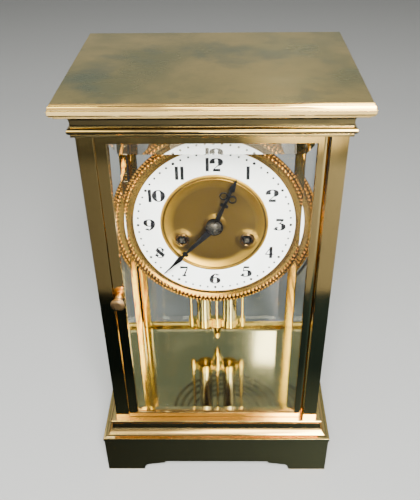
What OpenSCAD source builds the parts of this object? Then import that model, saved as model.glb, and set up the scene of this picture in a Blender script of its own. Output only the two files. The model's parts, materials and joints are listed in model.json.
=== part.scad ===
// Crystal regulator: a four-glass brass table clock with a two-train striking movement.
// Millimetres. The origin is on the table under the middle of the case, the dial faces -Y and Z is up.

/* [Case] */
// Width over the corner posts
case_w = 138.4; // [134:0.2:150]
// Depth over the corner posts
case_d = 104; // [102:1:120]
// Side of a square corner post
post_w = 8.8; // [8:0.1:9.6]
// Height of the corner posts
post_h = 206; // [202:1:230]

/* [Base] */
// How far the plinth face stands out from the posts
plinth_over = 9; // [7:0.2:9.4]
// Height of the plinth face
plinth_h = 30.4; // [26:0.2:40]
// How far the fillet over the plinth stands out from the posts
fillet_over = 9.5; // [9.5:0.1:12]
// Height of that fillet
fillet_h = 2.6; // [1.5:0.1:4]
// Height of the cove above the fillet
cove_h = 9.6; // [7:0.2:12]
// How far the top ledge stands out from the posts
ledge_over = 3.5; // [3:0.1:5]
// Height of the ledge's lip
ledge_h = 1.9; // [1:0.1:3]
// Wall of the hollow base
base_wall = 3.5; // [2.5:0.1:5]
// Width of a bracket foot along the front
foot_w = 26.2; // [18:0.2:32]
// Rise of the apron between the feet
apron_rise = 8.5; // [7:0.1:11]
// Thickness of the polished floor
floor_t = 2.4; // [1.5:0.1:3.5]

/* [Cornice] */
// Height of the frieze moulding
frieze_h = 12; // [11.6:0.1:15]
// How far the bead of the frieze stands out from the posts
bead_over = 3.4; // [2.8:0.1:4]
// Thickness of the top slab
slab_h = 7.5; // [7:0.1:9]
// How far the top slab stands out from the posts
slab_over = 9.8; // [8.6:0.1:13]

/* [Doors and glass] */
// Thickness of the door and side frames
frame_t = 6; // [5:0.1:7]
// Width of the upright stiles
stile_w = 6; // [5.4:0.1:8]
// Height of the rails
rail_h = 4.2; // [3.6:0.1:6]
// How far the frames lie behind the faces of the posts
frame_recess = 0.6; // [0.3:0.1:1]
// Gap round a door
door_gap = 0.4; // [0.3:0.05:0.6]
// Thickness of the plate glass
glass_t = 3; // [2.4:0.1:3.2]
// Thickness of the glass at its edge
glass_edge = 1.4; // [1:0.1:2]
// Width of the bevel on the glass
bevel_w = 5.4; // [3:0.1:9]
// Radius of a hinge pin
hinge_pin_r = 1.2; // [0.9:0.05:1.3]
// Radius of a door knob's face
knob_r = 4.2; // [3.4:0.1:4.8]
// Height of the knobs above the ledge
knob_rise = 103; // [60:0.5:150]

/* [Dial] */
// Height of the dial centre above the ledge
dial_rise = 137.5; // [130:0.5:140]
// Depth of the dial face behind the front of the posts
dial_depth = 29.7; // [29:0.1:31]
// Outer radius of the chapter ring that shows
chapter_r = 48.6; // [47.5:0.1:49]
// Radius of the gilt dial centre
centre_r = 32.5; // [30:0.1:36]
// Outer radius of the bezel
bezel_r = 56.8; // [55:0.1:58]
// Length of the minute hand
minute_len = 46; // [36:0.5:47]
// Length of the hour hand
hour_len = 33; // [26:0.2:35]
// Minutes that the hands show past twelve
shown_minutes = 37.3; // [0:0.1:59]
// Degrees that the hour hand stands ahead of the minutes shown
hour_lead = 5; // [-6:0.5:6]

/* [Movement] */
// Radius of the movement plates
plate_r = 46; // [45.5:0.1:48]
// Thickness of the movement plates
plate_t = 2.5; // [2:0.1:3]
// Space between the movement plates
plate_gap = 25.5; // [25.5:0.1:27]
// Sideways place of the winding arbors
wind_x = 19.8; // [19.2:0.1:20.4]
// Depth of the winding arbors below the dial centre
wind_drop = 10.8; // [10:0.1:12]
// Tooth size of the barrels and their pinions
barrel_mod = 0.55; // [0.54:0.002:0.56]
// Tooth size of the centre wheel
centre_mod = 0.4; // [0.395:0.001:0.405]
// Tooth size of the third wheel
third_mod = 0.36; // [0.35:0.002:0.37]
// Tip radius of the escape wheel
escape_r = 7.2; // [6.8:0.1:7.4]
// Share of the pitch that a tooth fills
tooth_share = 0.36; // [0.3:0.01:0.4]

/* [Pendulum] */
// Distance of the pendulum behind the back plate
pend_back = 8.3; // [8.1:0.1:8.6]
// Radius of a steel jar
jar_r = 5.35; // [4.6:0.05:5.6]
// Height of a jar
jar_h = 53.3; // [40:0.1:60]
// Sideways place of the jars
jar_x = 9.6; // [8:0.1:11]
// Sideways place of the outer posts of the bob
bob_post_x = 19.3; // [18.6:0.1:22]
// Clearance of the pendulum tip above the floor
bob_clear = 4.3; // [3:0.1:10]
// Height of the bob's lower bar above the tip
bob_bar_rise = 15.8; // [15:0.1:20]
// Largest swing to each side, in degrees
swing = 2.5; // [1:0.1:2.5]

/* [Gong] */
// Radius of the outermost turn of the gong
gong_r = 47.5; // [44:0.5:49]
// Radius of the innermost turn
gong_in_r = 22.5; // [20:0.5:26]
// Turns of the gong
gong_turns = 4.5; // [3.5:1:4.5]
// Radius of the gong's rod
gong_rod_r = 1.2; // [0.8:0.05:1.4]
// Sideways place of the gong's centre
gong_x = 6; // [4:0.5:8]
// Depth of the gong's centre below the dial centre
gong_drop = 47; // [45:0.2:49]
// Distance of the gong behind the back plate
gong_back = 17.5; // [17:0.1:18]

/* [Hidden] */
$fn = 64;
cut = 1;             // how far a cutting tool runs past a face
run_fit = 0.05;      // radial clearance of a running or sliding fit
air = 0.3;           // gap left between pieces that pass each other

half_w = case_w / 2;
half_d = case_d / 2;
base_h = plinth_h + fillet_h + cove_h + ledge_h;
case_top = base_h + post_h;
floor_z = base_h + floor_t;
dial_z = base_h + dial_rise;
knob_z = base_h + knob_rise;

// Corner posts and their bolts
post_x = half_w - post_w / 2;
post_y = half_d - post_w / 2;
bolt_r = 1.6;
bolt_head_r = 2.9;
bolt_head_h = 2.4;
bolt_grip = 10;
base_top_t = 6;
hollow_over = 2;
well_wall = 2;

// Doors and side frames
door_hw = half_w - post_w - door_gap;
door_z0 = base_h + door_gap;
door_z1 = case_top - door_gap;
door_front = -half_d + frame_recess;
hinge_x = door_hw - frame_t / 2;
hinge_y = door_front + frame_t / 2;
hinge_depth = 5;
groove = 1.5;
glass_lip = 1.6;
knob_in = 2.6;
knob_x = -door_hw + knob_in;
knob_neck_r = 1.4;
knob_foot_r = knob_in - 0.1;
knob_collar_r = 2.9;
knob_reach = 7.5;
knob_face_t = 2.1;
side_face = half_w - frame_recess;
side_in = side_face - frame_t;
side_hw = half_d - post_w;

// Dial and movement planes, front to back
enamel_t = 1.5;
dial_t = 1.5;
motion_gap = 6.3;
face_y = -half_d + dial_depth;
dial_y = face_y + enamel_t;
dial_back = dial_y + dial_t;
front_y = dial_back + motion_gap;
train_y = front_y + plate_t;
rear_y = train_y + plate_gap;
back_y = rear_y + plate_t;
pend_y = back_y + pend_back;
gong_y = back_y + gong_back;
dial_plate_r = chapter_r + 3.4;
enamel_out = chapter_r + 0.8;
lip_h = 0.5;
bezel_rise = 3.6;
bezel_seat = enamel_out + 0.2;
centre_field = 0.5;
centre_rim = 1.2;
centre_cove = 4.2;

// Tooth counts
great_n = 60;
leaf_n = 10;
second_n = 60;
centre_n = 84;
third_leaf_n = 7;
third_n = 75;
escape_leaf_n = 7;
escape_n = 40;
cannon_n = 12;
minute_n = 36;
minute_leaf_n = 10;
hour_n = 40;
motion_mod = 0.5;
hour_mod = motion_mod * (cannon_n + minute_n) / (minute_leaf_n + hour_n);
strike_second_n = 54;
pin_leaf_n = 9;
strike_mod = 0.5;
pin_n = 56;
warn_leaf_n = 7;
pin_mod = 0.4;
warn_n = 48;
fly_leaf_n = 6;
warn_mod = 0.35;
hammer_pins = 8;

// Arbor places in the plane of the dial, x to the right and z up, from the dial centre
function gear_span(mod, n1, n2) = mod * (n1 + n2) / 2;
function beyond(from, span, angle) = from + span * [cos(angle), sin(angle)];
function bearing(from, to) = atan2(to[1] - from[1], to[0] - from[0]);
function apex(from, to, span) =
    let (mid = (from + to) / 2, half = norm(to - from) / 2, up = sqrt(span * span - half * half))
    beyond(mid, up, bearing(from, to) + 90);
centre_at = [0, 0];
going_at = [wind_x, -wind_drop];
strike_at = [-wind_x, -wind_drop];
barrel_span = gear_span(barrel_mod, great_n, leaf_n);
second_at = apex(centre_at, going_at, barrel_span);
strike_second_at = [-second_at[0], second_at[1]];
third_at = beyond(centre_at, gear_span(centre_mod, centre_n, third_leaf_n), 90);
escape_at = beyond(third_at, gear_span(third_mod, third_n, escape_leaf_n), 90);
pallet_half = 360 / escape_n * 8.5 / 2;
pallet_at = escape_at + [0, escape_r / cos(pallet_half)];
pin_at = beyond(strike_second_at, gear_span(strike_mod, strike_second_n, pin_leaf_n), 95);
warn_at = beyond(pin_at, gear_span(pin_mod, pin_n, warn_leaf_n), 60);
fly_at = beyond(warn_at, gear_span(warn_mod, warn_n, fly_leaf_n), 165);
minute_at = beyond(centre_at, gear_span(motion_mod, cannon_n, minute_n), -90);
hammer_at = [-38, 0];
click_angle = -60;
click_span = 12;
click_at = beyond(going_at, click_span, click_angle);
pillar_at = [for (a = [20, 160, -60, -120]) beyond(centre_at, plate_r - 5, a)];
foot_at = [for (a = [45, 135, -45, -135]) beyond(centre_at, plate_r - 6, a)];

// Arbors and pivots
arbor_r = 1.1;
pivot_r = 0.6;
end_shake = 0.15;
wind_arbor_r = 2.2;
wind_square = 2.9;
barrel_core_r = 5;
drum_wall = 1.2;
drum_r = barrel_mod * great_n / 2 - 1.5;
great_t = 1.2;
drum_len = 13.2;
wheel_t = 1.2;
leaf_over = 0.2;
great_y = train_y + 0.6;
drum_y = great_y + great_t;
second_y = drum_y + drum_len + 0.7;
centre_wheel_y = second_y + wheel_t + 2;
third_y = train_y + 4.5;
third_t = 1;
escape_y = centre_wheel_y + wheel_t + 0.4;
escape_t = 0.8;
pin_y = train_y + 7.5;
pin_len = 2.4;
pin_circle = 9;
hammer_pin_r = 0.5;
warn_y = train_y + 2;
warn_t = 1;
fly_y = pin_y + wheel_t + pin_len + 1;
fly_len = 11;
fly_r = 6;
fly_t = 0.4;

// Motion work and hands
centre_arbor_r = 1.2;
cannon_r = 2;
pipe_r = 3.2;
hand_seat_r = 1.6;
motion_t = 1.8;
minute_wheel_y = front_y - 0.6 - motion_t;
hour_t = 1.2;
hour_wheel_y = minute_wheel_y - 0.8 - hour_t;
hand_t = 0.8;
hour_hand_y = face_y - 1.6;
minute_hand_y = hour_hand_y - 2;
stud_r = 1;
ratchet_r = 7;
ratchet_n = 24;
ratchet_t = 1.6;
ratchet_y = front_y - 0.6 - ratchet_t;
click_gap = 0.25;
hub_r = 5.3;
cap_r = 4.4;
cap_h = 2.6;
minute_angle = shown_minutes * 6;
hour_angle = shown_minutes / 2 + hour_lead;

// Suspension and bob
pallet_gap = 0.6;
pallet_z = dial_z + pallet_at[1];
crutch_gap = 0.8;
crutch_y = back_y + crutch_gap;
crutch_t = 1.2;
crutch_len = 36;
crutch_h = 2.5;
crutch_w = 2.4;
fork_w = 6;
fork_over = 1.6;
cock_gap = 4;
cock_y = back_y + cock_gap;
cock_t = 2;
cock_arm_z = 5.5;
cock_arm_h = 4.5;
spring_t = 0.3;
spring_w = 4;
spring_drop = 8;
chop_h = 4;
rod_r = 1;
tip_z = floor_z + bob_clear;
bar_z = tip_z + bob_bar_rise;
bar_h = 6;
cup_depth = 1.5;
cup_wall = 0.9;
top_bar_h = 4;
bob_post_r = 1;
boss_r = 2.3;
acorn_r = 1.7;
nut_r = 2.6;
nut_h = 4.2;
cone_h = 9;
cone_r = 6;
bar_half_d = 3.4;

// Gong
gong_at = [gong_x, -gong_drop];
gong_end_angle = 50;
loop_rings = 24;
tube_sides = 6;
block_len = 8;
block_in = 2;
block_out = 6;
block_d = 8;
block_back = 2;
standoff_r = 3;

// Movement brackets
bracket_t = 1.6;
bracket_h = 12;
bracket_lap = 5;
strap_screw_r = 0.9;
strap_head_r = 1.8;
strap_head_h = 1.1;
strap_grip = 4;

brass = [0.80, 0.62, 0.28];
gilt = [0.86, 0.66, 0.30];
dull_brass = [0.66, 0.52, 0.26];
steel = [0.60, 0.61, 0.62];
blued = [0.10, 0.10, 0.13];
clear_glass = [0.75, 0.87, 0.85, 0.35];
enamel = [0.96, 0.95, 0.91];

// Shared shapes

// A prism of a flat outline drawn as seen from the front, from y0 back to y0 + depth
module slice(y0, depth) {
    translate([0, y0 + depth, 0]) rotate([90, 0, 0]) linear_extrude(depth) children();
}

// A round rod along Y
module rod(r, y0, y1) {
    slice(y0, y1 - y0) circle(r);
}

// A turned shape about the Y axis: profile points are [radius, y]
module turned(profile) {
    rotate([-90, 0, 0]) rotate_extrude() polygon(profile);
}

// Puts children at a place in the plane of the dial
module at_dial(place) {
    translate([place[0], 0, dial_z + place[1]]) children();
}

// The section of a moulding that runs round the case: [stand-out from the posts, z]
function section(half, profile) = concat(
    [for (p = profile) [half + p[0], p[1]]],
    [for (i = [len(profile) - 1:-1:0]) [-half - profile[i][0], profile[i][1]]]);

// A mitred moulding round the case, the same section on all four sides
module moulding(profile, reach) {
    intersection() {
        rotate([90, 0, 0]) linear_extrude(case_d + 2 * reach, center = true)
            polygon(section(half_w, profile));
        rotate([90, 0, 90]) linear_extrude(case_w + 2 * reach, center = true)
            polygon(section(half_d, profile));
    }
}

// A block centred in X and Y, from z0 to z1
module block(half_x, half_y, z0, z1) {
    translate([-half_x, -half_y, z0]) cube([2 * half_x, 2 * half_y, z1 - z0]);
}

// Children at each of the four posts
module at_posts() {
    for (sx = [-1, 1], sy = [-1, 1]) translate([sx * post_x, sy * post_y, 0]) children();
}

// Toothed outline: straight-flanked teeth, the first one centred at the angle phase
function tooth_phase(phase1, n1, n2, direction) =
    direction + 180 + (direction - phase1) * n1 / n2 + 180 / n2;
function tooth_points(n, mod, phase) =
    let (r = n * mod / 2, tip = r + 0.85 * mod, root = r - 1.15 * mod, pitch = 360 / n,
         wide = pitch * tooth_share * 0.72, slim = pitch * tooth_share * 0.3)
    [for (i = [0:n - 1], c = [[root, -wide], [tip, -slim], [tip, slim], [root, wide]])
        c[0] * [cos(phase + i * pitch + c[1]), sin(phase + i * pitch + c[1])]];
module toothed(n, mod, phase) {
    polygon(tooth_points(n, mod, phase));
}

// Crossed-out wheel outline: teeth, rim, hub and spokes
module crossed_wheel(n, mod, phase, hub, spokes) {
    rim = n * mod / 2 - 2.6 * mod - 0.6;
    difference() {
        toothed(n, mod, phase);
        difference() {
            circle(rim);
            circle(hub);
            for (i = [0:spokes - 1]) rotate(i * 360 / spokes + 15)
                translate([0, -0.7]) square([rim + cut, 1.4]);
        }
    }
}

// An arbor between the plates with a pivot at each end
module arbor(r) {
    rod(r, train_y + end_shake, rear_y - end_shake);
    rod(pivot_r, front_y, back_y);
}

// Pivot holes of one place, through a plate from y0
module pivot_hole(place, r, y0) {
    translate([place[0], 0, place[1]]) rod(r, y0 - cut, y0 + plate_t + cut);
}

// Base

cove_over = fillet_over - 1.4;
lip_over = ledge_over - 0.7;
cove_z0 = plinth_h + fillet_h;
cove_z1 = cove_z0 + cove_h;
base_profile = concat(
    [[plinth_over, 0], [plinth_over, plinth_h], [fillet_over, plinth_h], [fillet_over, cove_z0]],
    [for (t = [0:10:90]) [cove_over - (cove_over - lip_over) * sin(t), cove_z1 - cove_h * cos(t)]],
    [[ledge_over, cove_z1], [ledge_over, base_h - 0.4], [ledge_over - 0.4, base_h]]);

// The opening under one side of the base: half is the half-span between the feet
function apron(half) =
    let (edge = [for (t = [0:15:90]) [half - 3.5 * (1 - cos(t)), (apron_rise - 3.3) * sin(t)]],
         inner = [[half - 15, apron_rise - 1.5], [half - 15.4, apron_rise]],
         right = concat([[half, -cut]], edge, inner))
    concat(right, [for (i = [len(right) - 1:-1:0]) [-right[i][0], right[i][1]]]);

module base_plinth() {
    span_w = half_w + plinth_over - foot_w;
    span_d = half_d + plinth_over - foot_w;
    reach = fillet_over + cut;
    color(brass) difference() {
        moulding(base_profile, reach);
        block(half_w + plinth_over - base_wall, half_d + plinth_over - base_wall, -cut, plinth_h - 1.6);
        block(half_w + hollow_over, half_d + hollow_over, plinth_h - 1.6 - cut, base_h - base_top_t);
        rotate([90, 0, 0]) linear_extrude(case_d + 2 * reach, center = true) polygon(apron(span_w));
        rotate([90, 0, 90]) linear_extrude(case_w + 2 * reach, center = true) polygon(apron(span_d));
        at_posts() cylinder(r = bolt_r + run_fit, h = base_h + cut);
        hinge_places() cylinder(r = hinge_pin_r + run_fit, h = hinge_depth + cut);
    }
}

module floor_plate() {
    color(brass) block(half_w - post_w - run_fit, -door_front - frame_t - door_gap, base_h, floor_z);
}

// Posts

module post(sx, sy) {
    color(brass) difference() {
        translate([sx * post_x - post_w / 2, sy * post_y - post_w / 2, base_h])
            cube([post_w, post_w, post_h]);
        at_posts() {
            translate([0, 0, base_h - cut]) cylinder(r = bolt_r + run_fit, h = bolt_grip + cut + air);
            translate([0, 0, case_top - bolt_grip - air])
                cylinder(r = bolt_r + run_fit, h = bolt_grip + cut + air);
        }
    }
}

module post_front_left() {
    post(-1, -1);
}

module post_front_right() {
    post(1, -1);
}

module post_back_left() {
    post(-1, 1);
}

module post_back_right() {
    post(1, 1);
}

// Cornice

bead_r = bead_over / 2;
frieze_top = case_top + frieze_h;
frieze_fillet = 1.6;
frieze_profile = concat(
    [[bead_r + 0.2, case_top], [bead_r + 0.2, case_top + 1.4]],
    [for (t = [-90:15:90]) [bead_r + bead_r * cos(t), case_top + 1.5 + bead_r + bead_r * sin(t)]],
    [for (t = [0:15:90])
        [bead_r - 0.3 + 1.2 * (1 - cos(t)), case_top + 5.2 + (frieze_h - 5.2 - frieze_fillet) * sin(t)]],
    [[bead_r + 0.9, frieze_top - frieze_fillet], [bead_r + 0.9, frieze_top]]);
slab_profile = concat(
    [[slab_over - 2.2, frieze_top], [slab_over - 2.2, frieze_top + 1.2], [slab_over - 0.6, frieze_top + 1.2],
     [slab_over - 0.6, frieze_top + 1.7], [slab_over, frieze_top + 2.3],
     [slab_over, frieze_top + slab_h - 3.1]],
    [for (t = [0:15:90])
        [slab_over - 1.3 + 0.9 * cos(t), frieze_top + slab_h - 2.9 + 2.1 * sin(t)]],
    [[slab_over - 1.3, frieze_top + slab_h - 0.6], [slab_over - 1.8, frieze_top + slab_h]]);

module well(z0, z1) {
    block(half_w - post_w - well_wall, half_d - post_w - well_wall, z0, z1);
}

module cornice_frieze() {
    color(brass) difference() {
        moulding(frieze_profile, bead_over + cut);
        well(case_top - cut, frieze_top + cut);
        at_posts() {
            translate([0, 0, case_top - cut]) cylinder(r = bolt_r + run_fit, h = frieze_h + 2 * cut);
            translate([0, 0, frieze_top - bolt_head_h - run_fit])
                cylinder(r = bolt_head_r + run_fit, h = bolt_head_h + cut);
        }
        hinge_places() translate([0, 0, post_h + hinge_depth - cut])
            cylinder(r = hinge_pin_r + run_fit, h = hinge_depth + cut + run_fit);
    }
}

module cornice_slab() {
    color(dull_brass) difference() {
        moulding(slab_profile, slab_over + cut);
        well(frieze_top - cut, frieze_top + slab_h - 3);
    }
}

// Frames and glass

// A bevelled pane with its flat back at y = 0, from [-half, z0] to [half, z1], bevelled towards -Y
module pane(half, z0, z1) {
    rise = glass_t - glass_edge;
    margin = groove + 0.3;
    function bevel(low, high) = [[low, 0], [low, -glass_edge], [low + margin, -glass_edge],
        [low + margin + bevel_w, -glass_t], [high - margin - bevel_w, -glass_t],
        [high - margin, -glass_edge], [high, -glass_edge], [high, 0]];
    intersection() {
        translate([0, 0, z0]) linear_extrude(z1 - z0) polygon(bevel(-half, half));
        rotate([90, 0, 90]) linear_extrude(2 * half, center = true)
            polygon([for (p = bevel(z0, z1)) [p[1], p[0]]]);
    }
}

// The light of a frame and the groove that holds its pane, cut through a frame whose face is at y = 0
module light(half, z0, z1) {
    block(half, frame_t + cut, z0, z1);
    translate([0, glass_lip, 0]) block_y(half + groove, glass_edge + 2 * run_fit, z0 - groove, z1 + groove);
}

// A block centred in X from y = 0 back
module block_y(half_x, depth, z0, z1) {
    translate([-half_x, 0, z0]) cube([2 * half_x, depth, z1 - z0]);
}

light_z0 = door_z0 + rail_h;
light_z1 = door_z1 - rail_h;
door_light = door_hw - stile_w;
pane_fit = groove - run_fit;

// Where the four hinge pins stand, in plan
module hinge_places() {
    for (turn = [0, 180]) rotate(turn) translate([hinge_x, hinge_y, base_h - hinge_depth])
        children();
}

module door_frame() {
    color(brass) difference() {
        union() {
            translate([-door_hw, door_front, door_z0]) cube([door_hw + hinge_x, frame_t, door_z1 - door_z0]);
            translate([hinge_x, hinge_y, door_z0]) cylinder(d = frame_t, h = door_z1 - door_z0);
        }
        translate([0, door_front, 0]) light(door_light, light_z0, light_z1);
        translate([hinge_x, hinge_y, door_z0 - cut])
            cylinder(r = hinge_pin_r + run_fit, h = hinge_depth + cut);
        translate([hinge_x, hinge_y, door_z1 - hinge_depth])
            cylinder(r = hinge_pin_r + run_fit, h = hinge_depth + cut);
        translate([knob_x, 0, knob_z])
            rod(knob_neck_r + run_fit, door_front - cut, door_front + frame_t - cut);
    }
}

module door_glass() {
    color(clear_glass) translate([0, door_front + glass_lip + run_fit + glass_edge, 0])
        pane(door_light + pane_fit, light_z0 - pane_fit, light_z1 + pane_fit);
}

module door_knob() {
    tail = frame_t - cut - 2 * run_fit;
    back = -knob_reach + knob_face_t;
    color([0.62, 0.36, 0.20]) translate([knob_x, door_front, knob_z]) turned([
        [0, tail], [knob_neck_r, tail], [knob_neck_r, 0], [knob_foot_r, 0], [knob_foot_r, -0.7],
        [knob_neck_r + 0.4, -1.3], [knob_neck_r + 0.4, back + 3.2], [knob_collar_r, back + 2.2],
        [knob_collar_r, back + 1.2], [knob_collar_r - 0.4, back + 0.7], [knob_r - 0.6, back],
        [knob_r, back - 0.5], [knob_r, back - 1.1], [knob_r - 0.5, -knob_reach + 0.3],
        [knob_r * 0.6, -knob_reach], [0, -knob_reach]]);
}

module front_door_frame() {
    door_frame();
}

module front_door_glass() {
    door_glass();
}

module front_door_knob() {
    door_knob();
}

module back_door_frame() {
    rotate(180) door_frame();
}

module back_door_glass() {
    rotate(180) door_glass();
}

module back_door_knob() {
    rotate(180) door_knob();
}

module hinge_pins() {
    color(steel) hinge_places() {
        cylinder(r = hinge_pin_r, h = 2 * hinge_depth - run_fit);
        translate([0, 0, post_h + run_fit]) cylinder(r = hinge_pin_r, h = 2 * hinge_depth - run_fit);
    }
}

// Places children on both sides of the case, drawn as seen from the right with X along the side
module at_sides() {
    for (turn = [90, -90]) rotate(turn) translate([0, -side_face, 0]) children();
}

module side_frames() {
    color(brass) difference() {
        at_sides() difference() {
            block_y(side_hw, frame_t, base_h, case_top);
            light(side_hw - stile_w, base_h + rail_h, case_top - rail_h);
        }
        bracket_sides() strap_screws(run_fit);
    }
}

module side_glasses() {
    color(clear_glass) at_sides() translate([0, glass_lip + run_fit + glass_edge, 0])
        pane(side_hw - stile_w + pane_fit, base_h + rail_h - pane_fit, case_top - rail_h + pane_fit);
}

// Fasteners of the case

module bolt() {
    cylinder(r = bolt_head_r, h = bolt_head_h);
    cylinder(r = bolt_r, h = bolt_head_h + base_top_t + bolt_grip);
}

module upper_bolt() {
    cylinder(r = bolt_head_r, h = bolt_head_h);
    cylinder(r = bolt_r, h = frieze_h + bolt_grip);
}

module case_screws() {
    color(steel) {
        at_posts() {
            translate([0, 0, base_h - base_top_t - bolt_head_h]) bolt();
            translate([0, 0, frieze_top - run_fit]) rotate([180, 0, 0]) upper_bolt();
        }
        bracket_sides() {
            strap_screws(0);
            strap_heads();
        }
    }
}

// Movement brackets, drawn for the right side

strap_x = side_in - bracket_t;
strap_end = side_hw - 0.7;
strap_screw_y = side_hw - 2.4;
dial_screw_x = dial_plate_r - 2.6;

module bracket_sides() {
    for (side = [0, 1]) mirror([side, 0, 0]) translate([0, 0, dial_z]) children();
}

module strap_screws(fit) {
    for (z = [-bracket_h / 4, bracket_h / 4]) translate([strap_x, strap_screw_y, z]) rotate([0, 90, 0])
        cylinder(r = strap_screw_r + fit, h = bracket_t + strap_grip + fit);
    translate([dial_screw_x, 0, 0]) rod(strap_screw_r + fit, dial_y, dial_back + bracket_t);
}

module strap_heads() {
    for (z = [-bracket_h / 4, bracket_h / 4]) translate([strap_x - strap_head_h, strap_screw_y, z])
        rotate([0, 90, 0]) cylinder(r = strap_head_r, h = strap_head_h);
    translate([dial_screw_x, 0, 0])
        rod(strap_head_r, dial_back + bracket_t, dial_back + bracket_t + strap_head_h);
}

module movement_brackets() {
    color(dull_brass) bracket_sides() difference() {
        union() {
            translate([strap_x, dial_back, -bracket_h / 2])
                cube([bracket_t, strap_end - dial_back, bracket_h]);
            translate([dial_plate_r - bracket_lap, dial_back, -bracket_h / 2])
                cube([strap_x - dial_plate_r + bracket_lap + bracket_t, bracket_t, bracket_h]);
        }
        strap_screws(run_fit);
    }
}

// Dial

collet_r = 4.8;
collet_hole_r = 3;
collet_seat_r = 3.8;

module dial_plate() {
    foot_pin_r = 1;
    color(dull_brass) {
        at_dial(centre_at) difference() {
            rod(dial_plate_r, dial_y, dial_back);
            rod(pipe_r + 0.8, dial_y - cut, dial_back + cut);
            for (p = [going_at, strike_at]) translate([p[0], 0, p[1]])
                rod(collet_seat_r + run_fit, dial_y - cut, dial_back + cut);
            for (side = [0, 1]) mirror([side, 0, 0]) strap_screws(run_fit);
        }
        for (p = foot_at) at_dial(p) {
            rod(1.8, dial_back, front_y);
            rod(foot_pin_r, dial_back, front_y + plate_t);
        }
    }
}

module bezel() {
    inner = chapter_r;
    rope = (bezel_r - inner) * 0.22;
    color(gilt) at_dial(centre_at) turned([
        [bezel_seat, dial_y], [bezel_r - 0.9 * rope, dial_y],
        [bezel_r - 0.3 * rope, dial_y - 0.22 * bezel_rise],
        [bezel_r, dial_y - 0.55 * bezel_rise], [bezel_r - 0.2 * rope, dial_y - 0.83 * bezel_rise],
        [bezel_r - rope, dial_y - bezel_rise], [bezel_r - 1.4 * rope, dial_y - 0.92 * bezel_rise],
        [bezel_r - 1.6 * rope, dial_y - bezel_rise], [bezel_r - 2.4 * rope, dial_y - 0.97 * bezel_rise],
        [bezel_r - 2.5 * rope, dial_y - 0.83 * bezel_rise],
        [bezel_r - 3.2 * rope, dial_y - 0.67 * bezel_rise],
        [inner + 0.3 * rope, face_y - 1.4 * lip_h], [inner, face_y - lip_h], [inner, face_y - run_fit],
        [bezel_seat, face_y - run_fit]]);
}

module enamel_ring() {
    color(enamel) at_dial(centre_at) turned([
        [centre_r + run_fit, dial_y], [enamel_out, dial_y], [enamel_out, face_y], [centre_r + 0.8, face_y],
        [centre_r + 0.2, face_y + 0.3], [centre_r + run_fit, face_y + 0.7]]);
}

module dial_centre() {
    cove_r = centre_r - 0.5;
    cove_t = centre_rim - centre_field;
    color(gilt) at_dial(centre_at) difference() {
        turned(concat(
            [[pipe_r + 0.4, dial_y], [centre_r, dial_y], [centre_r, dial_y - centre_rim + 0.1],
             [cove_r, dial_y - centre_rim]],
            [for (t = [15:15:90]) [cove_r - centre_cove * sin(t), dial_y - centre_rim + cove_t * sin(t)]],
            [[7.4, dial_y - centre_field], [6.4, dial_y - 1.4], [5.2, dial_y - 1.9],
             [pipe_r + 0.4, dial_y - 1.9]]));
        for (p = [going_at, strike_at]) translate([p[0], 0, p[1]])
            rod(collet_seat_r + run_fit, dial_y - 3, dial_y + cut);
    }
}

module winding_collets() {
    color(gilt) for (p = [going_at, strike_at]) at_dial(p) turned([
        [collet_hole_r, dial_back], [collet_seat_r, dial_back], [collet_seat_r, dial_y - centre_field],
        [collet_r, dial_y - centre_field], [collet_r - 0.3, dial_y - 1.3],
        [collet_hole_r + 0.7, dial_y - 1.9],
        [collet_hole_r, dial_y - 1.5]]);
}

// Plates

// Every arbor that has a plain pivot in both plates
pivot_places = [second_at, third_at, escape_at, strike_second_at, pin_at, warn_at, fly_at];

module plate_outline(y0) {
    at_dial(centre_at) difference() {
        rod(plate_r, y0, y0 + plate_t);
        for (p = pivot_places) pivot_hole(p, pivot_r + run_fit, y0);
        for (p = pillar_at) pivot_hole(p, 1.5 + run_fit, y0);
        children();
    }
}

module front_plate() {
    color(brass) {
        plate_outline(front_y) {
            pivot_hole(centre_at, centre_arbor_r + run_fit, front_y);
            pivot_hole(pallet_at, pivot_r + run_fit, front_y);
            pivot_hole(hammer_at, pivot_r + run_fit, front_y);
            for (p = [going_at, strike_at]) pivot_hole(p, wind_arbor_r + run_fit, front_y);
            for (p = foot_at) pivot_hole(p, 1 + run_fit, front_y);
        }
        at_dial(minute_at) rod(stud_r, hour_wheel_y - 0.6, front_y);
        for (side = [-1, 1]) at_dial([side * click_at[0], click_at[1]]) rod(stud_r, ratchet_y - 0.6, front_y);
    }
}

module back_plate() {
    color(brass) plate_outline(rear_y) {
        pivot_hole(centre_at, pivot_r + run_fit, rear_y);
        pivot_hole(pallet_at, arbor_r + air, rear_y);
        pivot_hole(hammer_at, arbor_r + run_fit, rear_y);
        for (p = [going_at, strike_at]) pivot_hole(p, arbor_r + run_fit, rear_y);
    }
}

module plate_pillars() {
    color(brass) for (p = pillar_at) at_dial(p) {
        rod(2.4, train_y, rear_y);
        rod(1.5, front_y, back_y);
        rod(2.6, back_y, back_y + 1.4);
        rod(2.6, front_y - 1, front_y);
    }
}

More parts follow.
